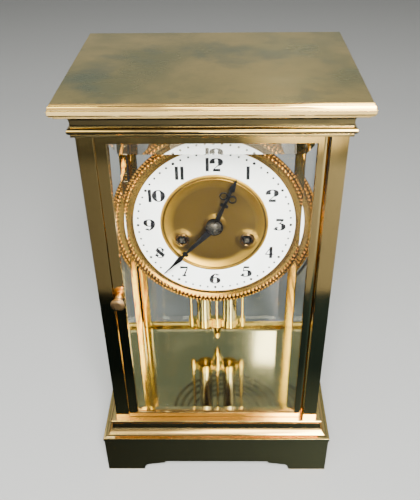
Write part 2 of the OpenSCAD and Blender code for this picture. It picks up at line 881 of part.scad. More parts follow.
module back_cock() {
    leg_x0 = 8;
    leg_x1 = 13;
    arm_end = pend_y + spring_w / 2 + 1.6;
    color(brass) translate([0, 0, pallet_z]) difference() {
        union() {
            for (side = [0, 1]) mirror([side, 0, 0]) translate([leg_x0, back_y, -3])
                cube([leg_x1 - leg_x0, cock_y - back_y + cock_t, 6.2]);
            translate([-leg_x1, cock_y, -3]) cube([2 * leg_x1, cock_t, 6.2]);
            translate([-5, cock_y, -3]) cube([10, cock_t, cock_arm_z + cock_arm_h + 3]);
            translate([-5, cock_y, cock_arm_z]) cube([10, arm_end - cock_y, cock_arm_h]);
        }
        rod(pivot_r + run_fit, cock_y - cut, cock_y + cock_t + cut);
        translate([-0.9, pend_y - spring_w / 2 - air, cock_arm_z - cut])
            cube([1.8, spring_w + 2 * air, cock_arm_h + 2 * cut]);
    }
}

// Barrels, drawn at the right-hand place

great_phase = 0;
function going_phase_of_leaf() = tooth_phase(great_phase, great_n, leaf_n, bearing(going_at, second_at));

module barrel() {
    color(brass) at_dial(going_at) difference() {
        union() {
            slice(great_y, great_t) toothed(great_n, barrel_mod, great_phase);
            rod(drum_r, drum_y, drum_y + drum_len);
        }
        rod(drum_r - drum_wall, drum_y, drum_y + drum_len - drum_wall);
        rod(wind_arbor_r + run_fit, great_y - cut, drum_y + drum_len + cut);
    }
}

module mainspring() {
    color(steel) at_dial(going_at) difference() {
        rod(drum_r - drum_wall - run_fit, drum_y + air, drum_y + drum_len - drum_wall - air);
        rod(barrel_core_r + air, drum_y, drum_y + drum_len);
    }
}

module winding_arbor() {
    color(steel) at_dial(going_at) {
        rod(wind_arbor_r, ratchet_y, rear_y - end_shake);
        rod(barrel_core_r, drum_y + air, drum_y + drum_len - drum_wall - air);
        rod(arbor_r, rear_y - 1, back_y);
        slice(face_y - 0.4, ratchet_y - face_y + 0.4 + cut) square(wind_square, center = true);
        slice(ratchet_y, ratchet_t) polygon([
            for (i = [0:ratchet_n - 1], c = [[0, ratchet_r], [0.2, ratchet_r - 1.3]])
            c[1] * [cos((i + c[0]) * 360 / ratchet_n), sin((i + c[0]) * 360 / ratchet_n)]]);
    }
}

module click() {
    tip = beyond(going_at, ratchet_r + click_gap, click_angle - 50);
    aim = bearing(click_at, tip);
    reach = norm(tip - click_at);
    color(steel) at_dial(click_at) difference() {
        slice(ratchet_y, ratchet_t) union() {
            circle(2);
            rotate(aim) polygon([[0, -1.9], [reach, 0], [reach - 0.8, 1.3], [0, 1.9]]);
        }
        rod(stud_r + run_fit, ratchet_y - cut, ratchet_y + ratchet_t + cut);
    }
}

module going_barrel() {
    barrel();
}

module going_mainspring() {
    mainspring();
}

module going_winding_arbor() {
    winding_arbor();
}

module going_click() {
    click();
}

module strike_barrel() {
    mirror([1, 0, 0]) barrel();
}

module strike_mainspring() {
    mirror([1, 0, 0]) mainspring();
}

module strike_winding_arbor() {
    mirror([1, 0, 0]) winding_arbor();
}

module strike_click() {
    mirror([1, 0, 0]) click();
}

// Going train

leaf_phase = going_phase_of_leaf();
second_phase = 0;
centre_leaf_phase = tooth_phase(second_phase, second_n, leaf_n, bearing(second_at, centre_at));
centre_phase = 0;
third_leaf_phase = tooth_phase(centre_phase, centre_n, third_leaf_n, 90);
third_phase = 0;
escape_leaf_phase = tooth_phase(third_phase, third_n, escape_leaf_n, 90);

// A pinion that is a little longer than the wheel that it meets
module leaves(n, mod, phase, wheel_y, thick) {
    slice(wheel_y - leaf_over, thick + 2 * leaf_over) toothed(n, mod, phase);
}

module second_wheel() {
    color(brass) at_dial(second_at) {
        slice(second_y, wheel_t) crossed_wheel(second_n, barrel_mod, second_phase, 4, 5);
        leaves(leaf_n, barrel_mod, leaf_phase, great_y, great_t);
        arbor(arbor_r);
    }
}

module centre_wheel() {
    color(brass) at_dial(centre_at) {
        slice(centre_wheel_y, wheel_t) crossed_wheel(centre_n, centre_mod, centre_phase, 4, 5);
        leaves(leaf_n, barrel_mod, centre_leaf_phase, second_y, wheel_t);
        rod(1.6, train_y + end_shake, rear_y - end_shake);
        rod(pivot_r, rear_y - cut, back_y);
        rod(centre_arbor_r, minute_hand_y, train_y + cut);
    }
}

module third_wheel() {
    color(brass) at_dial(third_at) {
        slice(third_y, third_t) crossed_wheel(third_n, third_mod, third_phase, 3, 5);
        leaves(third_leaf_n, centre_mod, third_leaf_phase, centre_wheel_y, wheel_t);
        arbor(0.9);
    }
}

module escape_wheel() {
    inner = escape_r - 1.3;
    color(brass) at_dial(escape_at) {
        slice(escape_y, escape_t) difference() {
            polygon([
                for (i = [0:escape_n - 1],
                     c = [[0, escape_r], [0.16, escape_r], [0.42, inner], [0.86, inner]])
                c[1] * [cos((i + c[0]) * 360 / escape_n), sin((i + c[0]) * 360 / escape_n)]]);
            difference() {
                circle(inner - 1);
                circle(2);
                for (i = [0:3]) rotate(i * 90) translate([0, -0.5]) square([inner, 1]);
            }
        }
        leaves(escape_leaf_n, third_mod, escape_leaf_phase, third_y, third_t);
        arbor(0.8);
    }
}

// Escapement: the pallets stand clear of the tips, so that wheel and anchor can each be turned alone

module anchor() {
    near = escape_r + pallet_gap;
    up = pallet_at[1] - escape_at[1];
    nib = [near * sin(pallet_half), near * cos(pallet_half) - up];
    right = [[0, 2.4], [2.4, 1.6], [nib[0] + 1.6, nib[1] + 1.9], [nib[0] + 1.3, nib[1] + 0.2], nib,
        [nib[0] + 0.1, nib[1] + 1.3], [1.6, -0.6], [0, -1.3]];
    color(steel) at_dial(pallet_at) {
        slice(escape_y - 0.2, escape_t + 0.4)
            polygon(concat(right, [for (i = [len(right) - 2:-1:1]) [-right[i][0], right[i][1]]]));
        rod(arbor_r, train_y + end_shake, cock_y - end_shake);
        rod(pivot_r, front_y, cock_y + cock_t);
    }
}

module crutch() {
    fork_end = pend_y + rod_r + fork_over;
    color(brass) at_dial(pallet_at) difference() {
        union() {
            rod(crutch_w, crutch_y, crutch_y + crutch_t);
            translate([-crutch_w / 2, crutch_y, -crutch_len]) cube([crutch_w, crutch_t, crutch_len]);
            translate([-fork_w / 2, crutch_y, -crutch_len - crutch_h])
                cube([fork_w, fork_end - crutch_y, crutch_h]);
        }
        rod(arbor_r + run_fit, crutch_y - cut, crutch_y + crutch_t + cut);
        translate([-rod_r - air, pend_y - rod_r - air, -crutch_len - crutch_h - cut])
            cube([2 * (rod_r + air), fork_end - pend_y + rod_r + air + cut, crutch_h + 2 * cut]);
    }
}

// Motion work and hands

cannon_phase = 0;
minute_phase = tooth_phase(cannon_phase, cannon_n, minute_n, -90);
minute_leaf_phase = 0;
hour_phase = tooth_phase(minute_leaf_phase, minute_leaf_n, hour_n, 90);

module cannon_pinion() {
    color(steel) at_dial(centre_at) difference() {
        union() {
            slice(minute_wheel_y - leaf_over, motion_t + 2 * leaf_over)
                toothed(cannon_n, motion_mod, cannon_phase);
            rod(cannon_r, minute_hand_y + hand_t, minute_wheel_y);
            rod(hand_seat_r, minute_hand_y, minute_wheel_y);
        }
        rod(centre_arbor_r + run_fit, minute_hand_y - cut, front_y);
    }
}

module minute_wheel() {
    color(brass) at_dial(minute_at) difference() {
        union() {
            slice(minute_wheel_y, motion_t) toothed(minute_n, motion_mod, minute_phase);
            slice(hour_wheel_y - leaf_over, minute_wheel_y - hour_wheel_y + leaf_over)
                toothed(minute_leaf_n, hour_mod, minute_leaf_phase);
        }
        rod(stud_r + run_fit, hour_wheel_y - cut, minute_wheel_y + motion_t + cut);
    }
}

module hour_wheel() {
    color(brass) at_dial(centre_at) difference() {
        union() {
            slice(hour_wheel_y, hour_t) toothed(hour_n, hour_mod, hour_phase);
            rod(pipe_r, hour_hand_y, hour_wheel_y + hour_t);
        }
        rod(cannon_r + run_fit, hour_hand_y - cut, hour_wheel_y + hour_t + cut);
    }
}

// Half of a hand's outline: [distance from the hub, half-width]; both halves make the hand
module hand(half_outline, angle, bore_r, hub) {
    rotate(-angle) difference() {
        union() {
            circle(hub);
            polygon(concat([for (p = half_outline) [p[1], p[0]]],
                [for (i = [len(half_outline) - 1:-1:0]) [-half_outline[i][1], half_outline[i][0]]]));
            children();
        }
        circle(bore_r);
    }
}

module hour_hand() {
    ring = 2.5;
    ring_x = 2.8;
    ring_at = hour_len * 0.62;
    color(blued) at_dial(centre_at) slice(hour_hand_y, hand_t)
        hand([[0, 1.9], [hour_len * 0.42, 0.9], [hour_len * 0.43, 2.4], [hour_len * 0.47, 2.4],
            [hour_len * 0.49, 0.8], [hour_len * 0.75, 0.8], [hour_len * 0.77, 1.8], [hour_len * 0.81, 1.7],
            [hour_len, 0.15]],
            hour_angle, pipe_r + run_fit, hub_r - 0.4)
            for (side = [-1, 1]) translate([side * ring_x, ring_at]) difference() {
                circle(ring);
                circle(ring - 0.8);
            }
}

module minute_hand() {
    color(blued) at_dial(centre_at) slice(minute_hand_y, hand_t)
        hand([[0, 1.7], [hub_r, 2], [minute_len * 0.54, 0.6], [minute_len * 0.55, 2], [minute_len * 0.58, 2],
            [minute_len * 0.6, 0.7], [minute_len * 0.69, 1.6], [minute_len * 0.8, 0.7], [minute_len, 0.15]],
            minute_angle, hand_seat_r + run_fit, hub_r);
}

module hand_cap() {
    color(blued) at_dial(centre_at) turned([
        [0, minute_hand_y - cap_h], [cap_r * 0.5, minute_hand_y - cap_h * 0.9],
        [cap_r * 0.85, minute_hand_y - cap_h * 0.55], [cap_r, minute_hand_y - 0.4], [cap_r, minute_hand_y],
        [0, minute_hand_y]]);
}

// Strike train

strike_leaf_phase = 180 - leaf_phase;
strike_second_phase = 0;
pin_leaf_phase =
    tooth_phase(strike_second_phase, strike_second_n, pin_leaf_n, bearing(strike_second_at, pin_at));
pin_phase = 0;
warn_leaf_phase = tooth_phase(pin_phase, pin_n, warn_leaf_n, bearing(pin_at, warn_at));
warn_phase = 0;
fly_leaf_phase = tooth_phase(warn_phase, warn_n, fly_leaf_n, bearing(warn_at, fly_at));

module strike_second_wheel() {
    color(brass) at_dial(strike_second_at) {
        slice(second_y, wheel_t) crossed_wheel(strike_second_n, strike_mod, strike_second_phase, 3.6, 5);
        leaves(leaf_n, barrel_mod, strike_leaf_phase, great_y, great_t);
        arbor(arbor_r);
    }
}

module strike_pin_wheel() {
    color(brass) at_dial(pin_at) {
        slice(pin_y, wheel_t) toothed(pin_n, pin_mod, pin_phase);
        for (i = [0:hammer_pins - 1]) rotate([0, i * 360 / hammer_pins, 0]) translate([pin_circle, 0, 0])
            rod(hammer_pin_r, pin_y, pin_y + wheel_t + pin_len);
        leaves(pin_leaf_n, strike_mod, pin_leaf_phase, second_y, wheel_t);
        arbor(0.9);
    }
}

module strike_warning_wheel() {
    color(brass) at_dial(warn_at) {
        slice(warn_y, warn_t) crossed_wheel(warn_n, warn_mod, warn_phase, 2.4, 4);
        leaves(warn_leaf_n, pin_mod, warn_leaf_phase, pin_y, wheel_t);
        arbor(0.8);
    }
}

module strike_fly() {
    color(brass) at_dial(fly_at) {
        leaves(fly_leaf_n, warn_mod, fly_leaf_phase, warn_y, warn_t);
        translate([-fly_r, fly_y, -fly_t / 2]) cube([2 * fly_r, fly_len, fly_t]);
        arbor(0.7);
    }
}

// Hammer: a tail that the pins lift, an arbor through the back plate and a slanting arm to the gong

module hammer() {
    tail_y = pin_y + wheel_t + 1.2;
    tail_len = norm(pin_at - hammer_at) - pin_circle - hammer_pin_r - 0.8;
    arm_y = back_y + 2.5;
    head_r = 2.6;
    head_len = 8;
    strike_gap = 1.6;
    drop = 42;
    side = sqrt(pow(gong_r + gong_rod_r, 2) - pow(gong_drop - drop, 2));
    head_x = gong_x - side - strike_gap - head_len - hammer_at[0];
    arm = [head_x + head_len / 2, gong_y - arm_y, -drop];
    color(brass) at_dial(hammer_at) {
        arbor(arbor_r);
        rod(arbor_r, rear_y - cut, arm_y + 1.5);
        slice(tail_y, 1.2) {
            circle(2.2);
            rotate(bearing(hammer_at, pin_at))
                polygon([[0, -1.4], [tail_len, -0.6], [tail_len, 0.6], [0, 1.4]]);
        }
        rod(2.2, arm_y - 1.5, arm_y + 1.5);
        translate([0, arm_y, 0]) rotate([0, acos(arm[2] / norm(arm)), atan2(arm[1], arm[0])])
            cylinder(r = 0.9, h = norm(arm));
        translate([head_x, gong_y, -drop]) rotate([0, 90, 0]) cylinder(r = head_r, h = head_len);
    }
}

// Gong: one rod wound in a flat spiral, its outer end straight into the block

gong_steps = round(loop_rings * gong_turns);
function gong_angle(i) = gong_end_angle - 360 * gong_turns * (1 - i / gong_steps);
function gong_radius(i) = gong_in_r + (gong_r - gong_in_r) * i / gong_steps;
gong_spiral = [for (i = [0:gong_steps]) beyond([0, 0], gong_radius(i), gong_angle(i))];
gong_lead = 2 * gong_rod_r;
gong_points = concat(
    [beyond(gong_spiral[0], gong_lead, gong_angle(0) - 90)],
    gong_spiral,
    [beyond(gong_spiral[gong_steps], gong_lead, gong_end_angle + 90)]);
gong_last = len(gong_points) - 1;
function gong_heading(i) = i == 0 || i == 1 ? gong_angle(0) + 90
    : i >= gong_last - 1 ? gong_end_angle + 90
    : bearing(gong_points[i - 1], gong_points[i + 1]);
gong_ring_points = [for (i = [0:gong_last], k = [0:tube_sides - 1])
    let (a = k * 360 / tube_sides, out = gong_heading(i) - 90, c = gong_rod_r * cos(a))
    [gong_points[i][0] + c * cos(out), gong_rod_r * sin(a), gong_points[i][1] + c * sin(out)]];
gong_faces = concat(
    [for (i = [0:gong_last - 1], k = [0:tube_sides - 1], half = [0, 1])
        let (a = i * tube_sides + k, b = i * tube_sides + (k + 1) % tube_sides, n = tube_sides)
        half == 0 ? [a, b, b + n] : [a, b + n, a + n]],
    [for (k = [1:tube_sides - 2]) [0, k + 1, k]],
    [for (k = [1:tube_sides - 2]) gong_last * tube_sides * [1, 1, 1] + [0, k, k + 1]]);
gong_least_gap = min([for (i = [0:gong_last - 1], j = [i + loop_rings / 2:1:gong_last])
    norm(gong_points[i] - gong_points[j])]) - 2 * gong_rod_r;

module gong_coil() {
    echo(gong_least_gap = gong_least_gap);
    color([0.32, 0.32, 0.34]) at_dial(gong_at) translate([0, gong_y, 0])
        polyhedron(gong_ring_points, gong_faces);
}

module gong_block() {
    face = gong_points[gong_last];
    mid = beyond(beyond(face, block_len / 2, gong_end_angle + 90),
        (block_out - block_in) / 2, gong_end_angle);
    color(brass) at_dial(gong_at) {
        translate([face[0], gong_y, face[1]]) rotate([0, -gong_end_angle, 0])
            translate([-block_in, block_back - block_d, 0]) cube([block_in + block_out, block_d, block_len]);
        translate([mid[0], 0, mid[1]]) rod(standoff_r, back_y, gong_y + block_back - block_d + cut);
    }
}

// Pendulum

module suspension_spring() {
    chop_r = 1.6;
    block_z = cock_arm_z + cock_arm_h + 0.2;
    color(steel) translate([0, pend_y, pallet_z]) {
        translate([-spring_t / 2, -spring_w / 2, -spring_drop])
            cube([spring_t, spring_w, spring_drop + block_z + 1]);
        translate([-2.2, -spring_w / 2, block_z]) cube([4.4, spring_w, 2]);
        translate([-chop_r, -spring_w / 2 - 0.4, -spring_drop - chop_h])
            cube([2 * chop_r, spring_w + 0.8, chop_h]);
    }
}

module pendulum_rod() {
    top = pallet_z - spring_drop - chop_h;
    color(brass) translate([0, pend_y, 0]) {
        translate([0, 0, tip_z + 1.5]) cylinder(r = rod_r, h = top - tip_z - 1.5);
        translate([0, 0, tip_z]) cylinder(r1 = 0.4, r2 = rod_r, h = 1.5);
    }
}

module bob_bar(z0, h) {
    translate([0, 0, z0]) linear_extrude(h) union() {
        translate([-bob_post_x, -bar_half_d / 2]) square([2 * bob_post_x, bar_half_d]);
        for (side = [-1, 1]) {
            translate([side * bob_post_x, 0]) circle(boss_r);
            translate([side * jar_x, 0]) circle(jar_r + cup_wall);
        }
        circle(bar_half_d);
    }
}

module bob_frame() {
    jar_z0 = bar_z + bar_h - cup_depth;
    top_z = jar_z0 + jar_h;
    color(gilt) translate([0, pend_y, 0]) difference() {
        union() {
            bob_bar(bar_z, bar_h);
            bob_bar(top_z - cup_depth, top_bar_h);
            for (side = [-1, 1]) {
                translate([side * bob_post_x, 0, bar_z]) cylinder(r = bob_post_r, h = top_z - bar_z);
                translate([side * bob_post_x, 0, bar_z - 1.6]) cylinder(r = acorn_r, h = 2);
                translate([side * bob_post_x, 0, bar_z - 1.6]) sphere(acorn_r);
                translate([side * jar_x, 0, bar_z - 1.4]) cylinder(r = acorn_r, h = 2);
                translate([side * jar_x, 0, bar_z - 1.4]) sphere(acorn_r);
            }
            translate([0, 0, bar_z - cone_h]) rotate_extrude() polygon([
                [0, 0], [nut_r - 0.4, 0], [nut_r, 0.8], [nut_r + 0.3, 1.6], [cone_r * 0.66, cone_h * 0.5],
                [cone_r * 0.94, cone_h * 0.88], [cone_r, cone_h + 0.2], [0, cone_h + 0.2]]);
        }
        for (side = [-1, 1]) translate([side * jar_x, 0, jar_z0])
            cylinder(r = jar_r + run_fit, h = jar_h + run_fit);
        translate([0, 0, tip_z]) cylinder(r = rod_r + run_fit, h = top_z - tip_z + top_bar_h);
    }
}

module bob_jars() {
    color(steel) for (side = [-1, 1]) translate([side * jar_x, pend_y, bar_z + bar_h - cup_depth])
        cylinder(r = jar_r, h = jar_h);
}

module rating_nut() {
    color(gilt) translate([0, pend_y, bar_z - cone_h - run_fit - nut_h]) difference() {
        union() {
            translate([0, 0, nut_h - 3]) cylinder(r = nut_r, h = 3);
            cylinder(r = nut_r - 0.8, h = nut_h);
        }
        translate([0, 0, -cut]) cylinder(r = rod_r + run_fit, h = nut_h + 2 * cut);
    }
}

base_plinth();
floor_plate();
post_front_left();
post_front_right();
post_back_left();
post_back_right();
cornice_frieze();
cornice_slab();
side_frames();
side_glasses();
hinge_pins();
case_screws();
front_door_frame();
front_door_glass();
front_door_knob();
back_door_frame();
back_door_glass();
back_door_knob();
movement_brackets();
dial_plate();
bezel();
enamel_ring();
dial_centre();
winding_collets();
front_plate();
back_plate();
plate_pillars();
back_cock();
going_barrel();
going_mainspring();
going_winding_arbor();
going_click();
strike_barrel();
strike_mainspring();
strike_winding_arbor();
strike_click();
second_wheel();
centre_wheel();
third_wheel();
escape_wheel();
anchor();
crutch();
cannon_pinion();
minute_wheel();
hour_wheel();
hour_hand();
minute_hand();
hand_cap();
strike_second_wheel();
strike_pin_wheel();
strike_warning_wheel();
strike_fly();
hammer();
gong_coil();
gong_block();
suspension_spring();
pendulum_rod();
bob_frame();
bob_jars();
rating_nut();
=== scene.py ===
import json
import math
import bpy
import numpy as np
from mathutils import Matrix, Vector


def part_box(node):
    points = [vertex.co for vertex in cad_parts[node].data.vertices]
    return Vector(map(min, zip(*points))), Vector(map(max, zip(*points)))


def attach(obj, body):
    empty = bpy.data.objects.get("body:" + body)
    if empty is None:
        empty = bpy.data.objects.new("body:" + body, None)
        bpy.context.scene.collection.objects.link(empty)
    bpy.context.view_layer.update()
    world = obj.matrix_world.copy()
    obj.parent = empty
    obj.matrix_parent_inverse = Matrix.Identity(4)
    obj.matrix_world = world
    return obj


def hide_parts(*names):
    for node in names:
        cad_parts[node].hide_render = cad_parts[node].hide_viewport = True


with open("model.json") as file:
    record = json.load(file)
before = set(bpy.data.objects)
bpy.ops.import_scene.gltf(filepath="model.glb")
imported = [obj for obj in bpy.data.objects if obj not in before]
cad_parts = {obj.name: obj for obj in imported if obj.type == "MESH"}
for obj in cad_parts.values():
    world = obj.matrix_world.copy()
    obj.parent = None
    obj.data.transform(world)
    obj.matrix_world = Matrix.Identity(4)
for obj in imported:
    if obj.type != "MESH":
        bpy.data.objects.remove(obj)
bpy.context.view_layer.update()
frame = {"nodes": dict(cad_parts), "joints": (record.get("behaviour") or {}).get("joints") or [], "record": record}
nodes = frame["nodes"]
mm = 0.001
dialLow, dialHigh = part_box("enamel_ring")
dialZ = (dialLow.z + dialHigh.z) / 2
faceY = dialLow.y
print("stage: frame loaded,", len(nodes), "nodes")

# Camera: a hand-held view from above, a little to the right. Place and sensor in mm, angles in degrees; focal
# length, middle of the lens and picture in pixels; nearest distance seen in m
cameraView = {"focal": 653.27, "place": (7.19, -364.72, 383.05), "pitch": 37.915, "yaw": -0.929,
              "roll": -0.609, "middle": (218.0, 310.0), "picture": (420, 500), "sensor": 36, "nearest": 0.01}


def makeCamera(v):
    # looks down by the pitch and sideways by the yaw, then turns about its own axis by the roll
    pitch, yaw, roll = (math.radians(v[k]) for k in ("pitch", "yaw", "roll"))
    ahead = Vector((math.sin(yaw) * math.cos(pitch), math.cos(yaw) * math.cos(pitch), -math.sin(pitch)))
    side = Vector((math.cos(yaw), -math.sin(yaw), 0))
    up = side.cross(ahead)
    right = side * math.cos(roll) + up * math.sin(roll)
    top = up * math.cos(roll) - side * math.sin(roll)
    turn = Matrix((right, top, -ahead)).transposed()
    data = bpy.data.cameras.new("viewCamera")
    wide, tall = v["picture"]
    longest = max(wide, tall)
    data.sensor_width = v["sensor"]
    data.lens = v["focal"] * v["sensor"] / longest
    data.shift_x = (wide / 2 - v["middle"][0]) / longest
    data.shift_y = (v["middle"][1] - tall / 2) / longest
    data.clip_start = v["nearest"]
    cam = bpy.data.objects.new("viewCamera", data)
    cam.matrix_world = Matrix.Translation(Vector(v["place"]) * mm) @ turn.to_4x4()
    bpy.context.scene.collection.objects.link(cam)
    bpy.context.scene.camera = cam


makeCamera(cameraView)
print("stage: camera")

# Node helpers for the materials


def link(tree, a, b):
    tree.links.new(a, b)


def addNode(tree, kind, **values):
    # a new node; each value sets the property of that name, or else the input of that name
    n = tree.nodes.new(kind)
    for k, v in values.items():
        if hasattr(n, k):
            setattr(n, k, v)
        else:
            n.inputs[k.replace("_", " ")].default_value = v
    return n


def nodeOf(tree, kind):
    # the first node of a kind
    return next(n for n in tree.nodes if n.type == kind)


def feed(t, plug, value):
    # links a socket to the plug, or gives the plug a plain value
    if isinstance(value, bpy.types.NodeSocket):
        link(t, value, plug)
    else:
        plug.default_value = value


def maths(t, kind, operation, *values):
    # the outputs of a Math or VectorMath node fed with sockets or plain values
    n = addNode(t, "ShaderNode" + kind, operation=operation)
    for plug, value in zip(n.inputs, values):
        feed(t, plug, value)
    return n.outputs


def ramp(t, value, start, end, **more):
    # none at the start, one at the end, in proportion between them
    n = addNode(t, "ShaderNodeMapRange", From_Min=start, From_Max=end, **more)
    link(t, value, n.inputs["Value"])
    return n.outputs["Result"]


def spread(t, fac, low, high):
    # low where the factor is none, high where it is one
    n = addNode(t, "ShaderNodeMapRange", To_Min=low, To_Max=high)
    link(t, fac, n.inputs["Value"])
    return n.outputs["Result"]


def mixTone(t, a, b, fac):
    # from a to b, each a plain colour or a socket; a colour mix takes them at 6 and 7 and gives them at 2
    n = addNode(t, "ShaderNodeMix", data_type="RGBA")
    for value, plug in ((a, n.inputs[6]), (b, n.inputs[7])):
        feed(t, plug, (*value, 1) if isinstance(value, tuple) else value)
    link(t, fac, n.inputs[0])
    return n.outputs[2]


def mixSurface(t, fac, first, second):
    # sends the mix of two surfaces to the output
    mix = addNode(t, "ShaderNodeMixShader")
    link(t, fac, mix.inputs["Fac"])
    link(t, first.outputs["BSDF"], mix.inputs[1])
    link(t, second.outputs["BSDF"], mix.inputs[2])
    link(t, mix.outputs["Shader"], nodeOf(t, "OUTPUT_MATERIAL").inputs["Surface"])


def newGroup(name, ins, outs):
    # an empty node group with its inputs and outputs
    g = bpy.data.node_groups.new(name, "ShaderNodeTree")
    for label, kind, value in ins:
        s = g.interface.new_socket(label, in_out="INPUT", socket_type=kind)
        s.default_value = value
    for label, kind in outs:
        g.interface.new_socket(label, in_out="OUTPUT", socket_type=kind)
    return g, g.nodes.new("NodeGroupInput"), g.nodes.new("NodeGroupOutput")


grainNoise = {"line": {"Detail": 3.0, "Roughness": 0.6},
              "broad": {"Scale": 220.0, "Detail": 4.0, "Roughness": 0.55}}


def grainGroup(v):
    # fine polishing lines: noise drawn out along one axis, and a broader noise of that stretch for streaks
    g, i, o = newGroup("polishGrain",
                       [("Lines", "NodeSocketVector", (1, 1, 1)), ("Fineness", "NodeSocketFloat", 900.0)],
                       [("Height", "NodeSocketFloat"), ("Streak", "NodeSocketFloat")])
    where = addNode(g, "ShaderNodeTexCoord")
    scaled = maths(g, "VectorMath", "MULTIPLY", where.outputs["Object"], i.outputs["Lines"])[0]
    lines = addNode(g, "ShaderNodeTexNoise", **v["line"])
    link(g, scaled, lines.inputs["Vector"])
    link(g, i.outputs["Fineness"], lines.inputs["Scale"])
    broad = addNode(g, "ShaderNodeTexNoise", **v["broad"])
    link(g, scaled, broad.inputs["Vector"])
    link(g, lines.outputs["Fac"], o.inputs["Height"])
    link(g, broad.outputs["Fac"], o.inputs["Streak"])
    return g


tarnishNoise = {"cloud": {"Detail": 5.0, "Roughness": 0.55, "Distortion": 0.15},
                "speck": {"Scale": 700.0, "Detail": 2.0}, "speckLimits": (0.6, 0.72)}


def tarnishGroup(v):
    # soft patches where a cloud noise passes from one limit to the other, and fine specks
    g, i, o = newGroup("tarnishPatches",
                       [("Size", "NodeSocketFloat", 22.0), ("Start", "NodeSocketFloat", 0.45),
                        ("End", "NodeSocketFloat", 0.65), ("Seed", "NodeSocketFloat", 0.0)],
                       [("Mask", "NodeSocketFloat"), ("Speck", "NodeSocketFloat")])
    where = addNode(g, "ShaderNodeTexCoord")
    cloud = addNode(g, "ShaderNodeTexNoise", noise_dimensions="4D", **v["cloud"])
    link(g, where.outputs["Object"], cloud.inputs["Vector"])
    link(g, i.outputs["Size"], cloud.inputs["Scale"])
    link(g, i.outputs["Seed"], cloud.inputs["W"])
    band = addNode(g, "ShaderNodeMapRange", interpolation_type="SMOOTHSTEP")
    link(g, cloud.outputs["Fac"], band.inputs["Value"])
    link(g, i.outputs["Start"], band.inputs["From Min"])
    link(g, i.outputs["End"], band.inputs["From Max"])
    speck = addNode(g, "ShaderNodeTexNoise", **v["speck"])
    link(g, where.outputs["Object"], speck.inputs["Vector"])
    link(g, band.outputs["Result"], o.inputs["Mask"])
    link(g, ramp(g, speck.outputs["Fac"], *v["speckLimits"]), o.inputs["Speck"])
    return g


wearShape = {"samples": 4, "limits": (0.995, 0.85)}


def wearGroup(v):
    # rounded arrises: how far the rounded normal leaves the flat one, and the rounded normal itself
    g, i, o = newGroup("edgeWear", [("Radius", "NodeSocketFloat", 0.0003)],
                       [("Wear", "NodeSocketFloat"), ("Soft", "NodeSocketVector")])
    soft = addNode(g, "ShaderNodeBevel", samples=v["samples"])
    link(g, i.outputs["Radius"], soft.inputs["Radius"])
    flat = addNode(g, "ShaderNodeNewGeometry")
    same = maths(g, "VectorMath", "DOT_PRODUCT", soft.outputs["Normal"], flat.outputs["Normal"])
    link(g, ramp(g, same["Value"], *v["limits"]), o.inputs["Wear"])
    link(g, soft.outputs["Normal"], o.inputs["Soft"])
    return g


polishGrain = grainGroup(grainNoise)
tarnishPatches = tarnishGroup(tarnishNoise)
edgeWear = wearGroup(wearShape)


def useGroup(tree, group, **values):
    n = addNode(tree, "ShaderNodeGroup", node_tree=group)
    for k, v in values.items():
        n.inputs[k].default_value = v
    return n


def patchesOf(t, v):
    # tarnish patches of a size, between two limits
    start, end = v["limits"]
    return useGroup(t, tarnishPatches, Size=v["size"], Start=start, End=end, Seed=v["seed"])


def newMaterial(name):
    # a material with one surface that goes straight to its output
    m = bpy.data.materials.new(name)
    m.use_nodes = True
    t = m.node_tree
    t.nodes.clear()
    out = addNode(t, "ShaderNodeOutputMaterial")
    skin = addNode(t, "ShaderNodeBsdfPrincipled")
    link(t, skin.outputs["BSDF"], out.inputs["Surface"])
    return m, t, skin


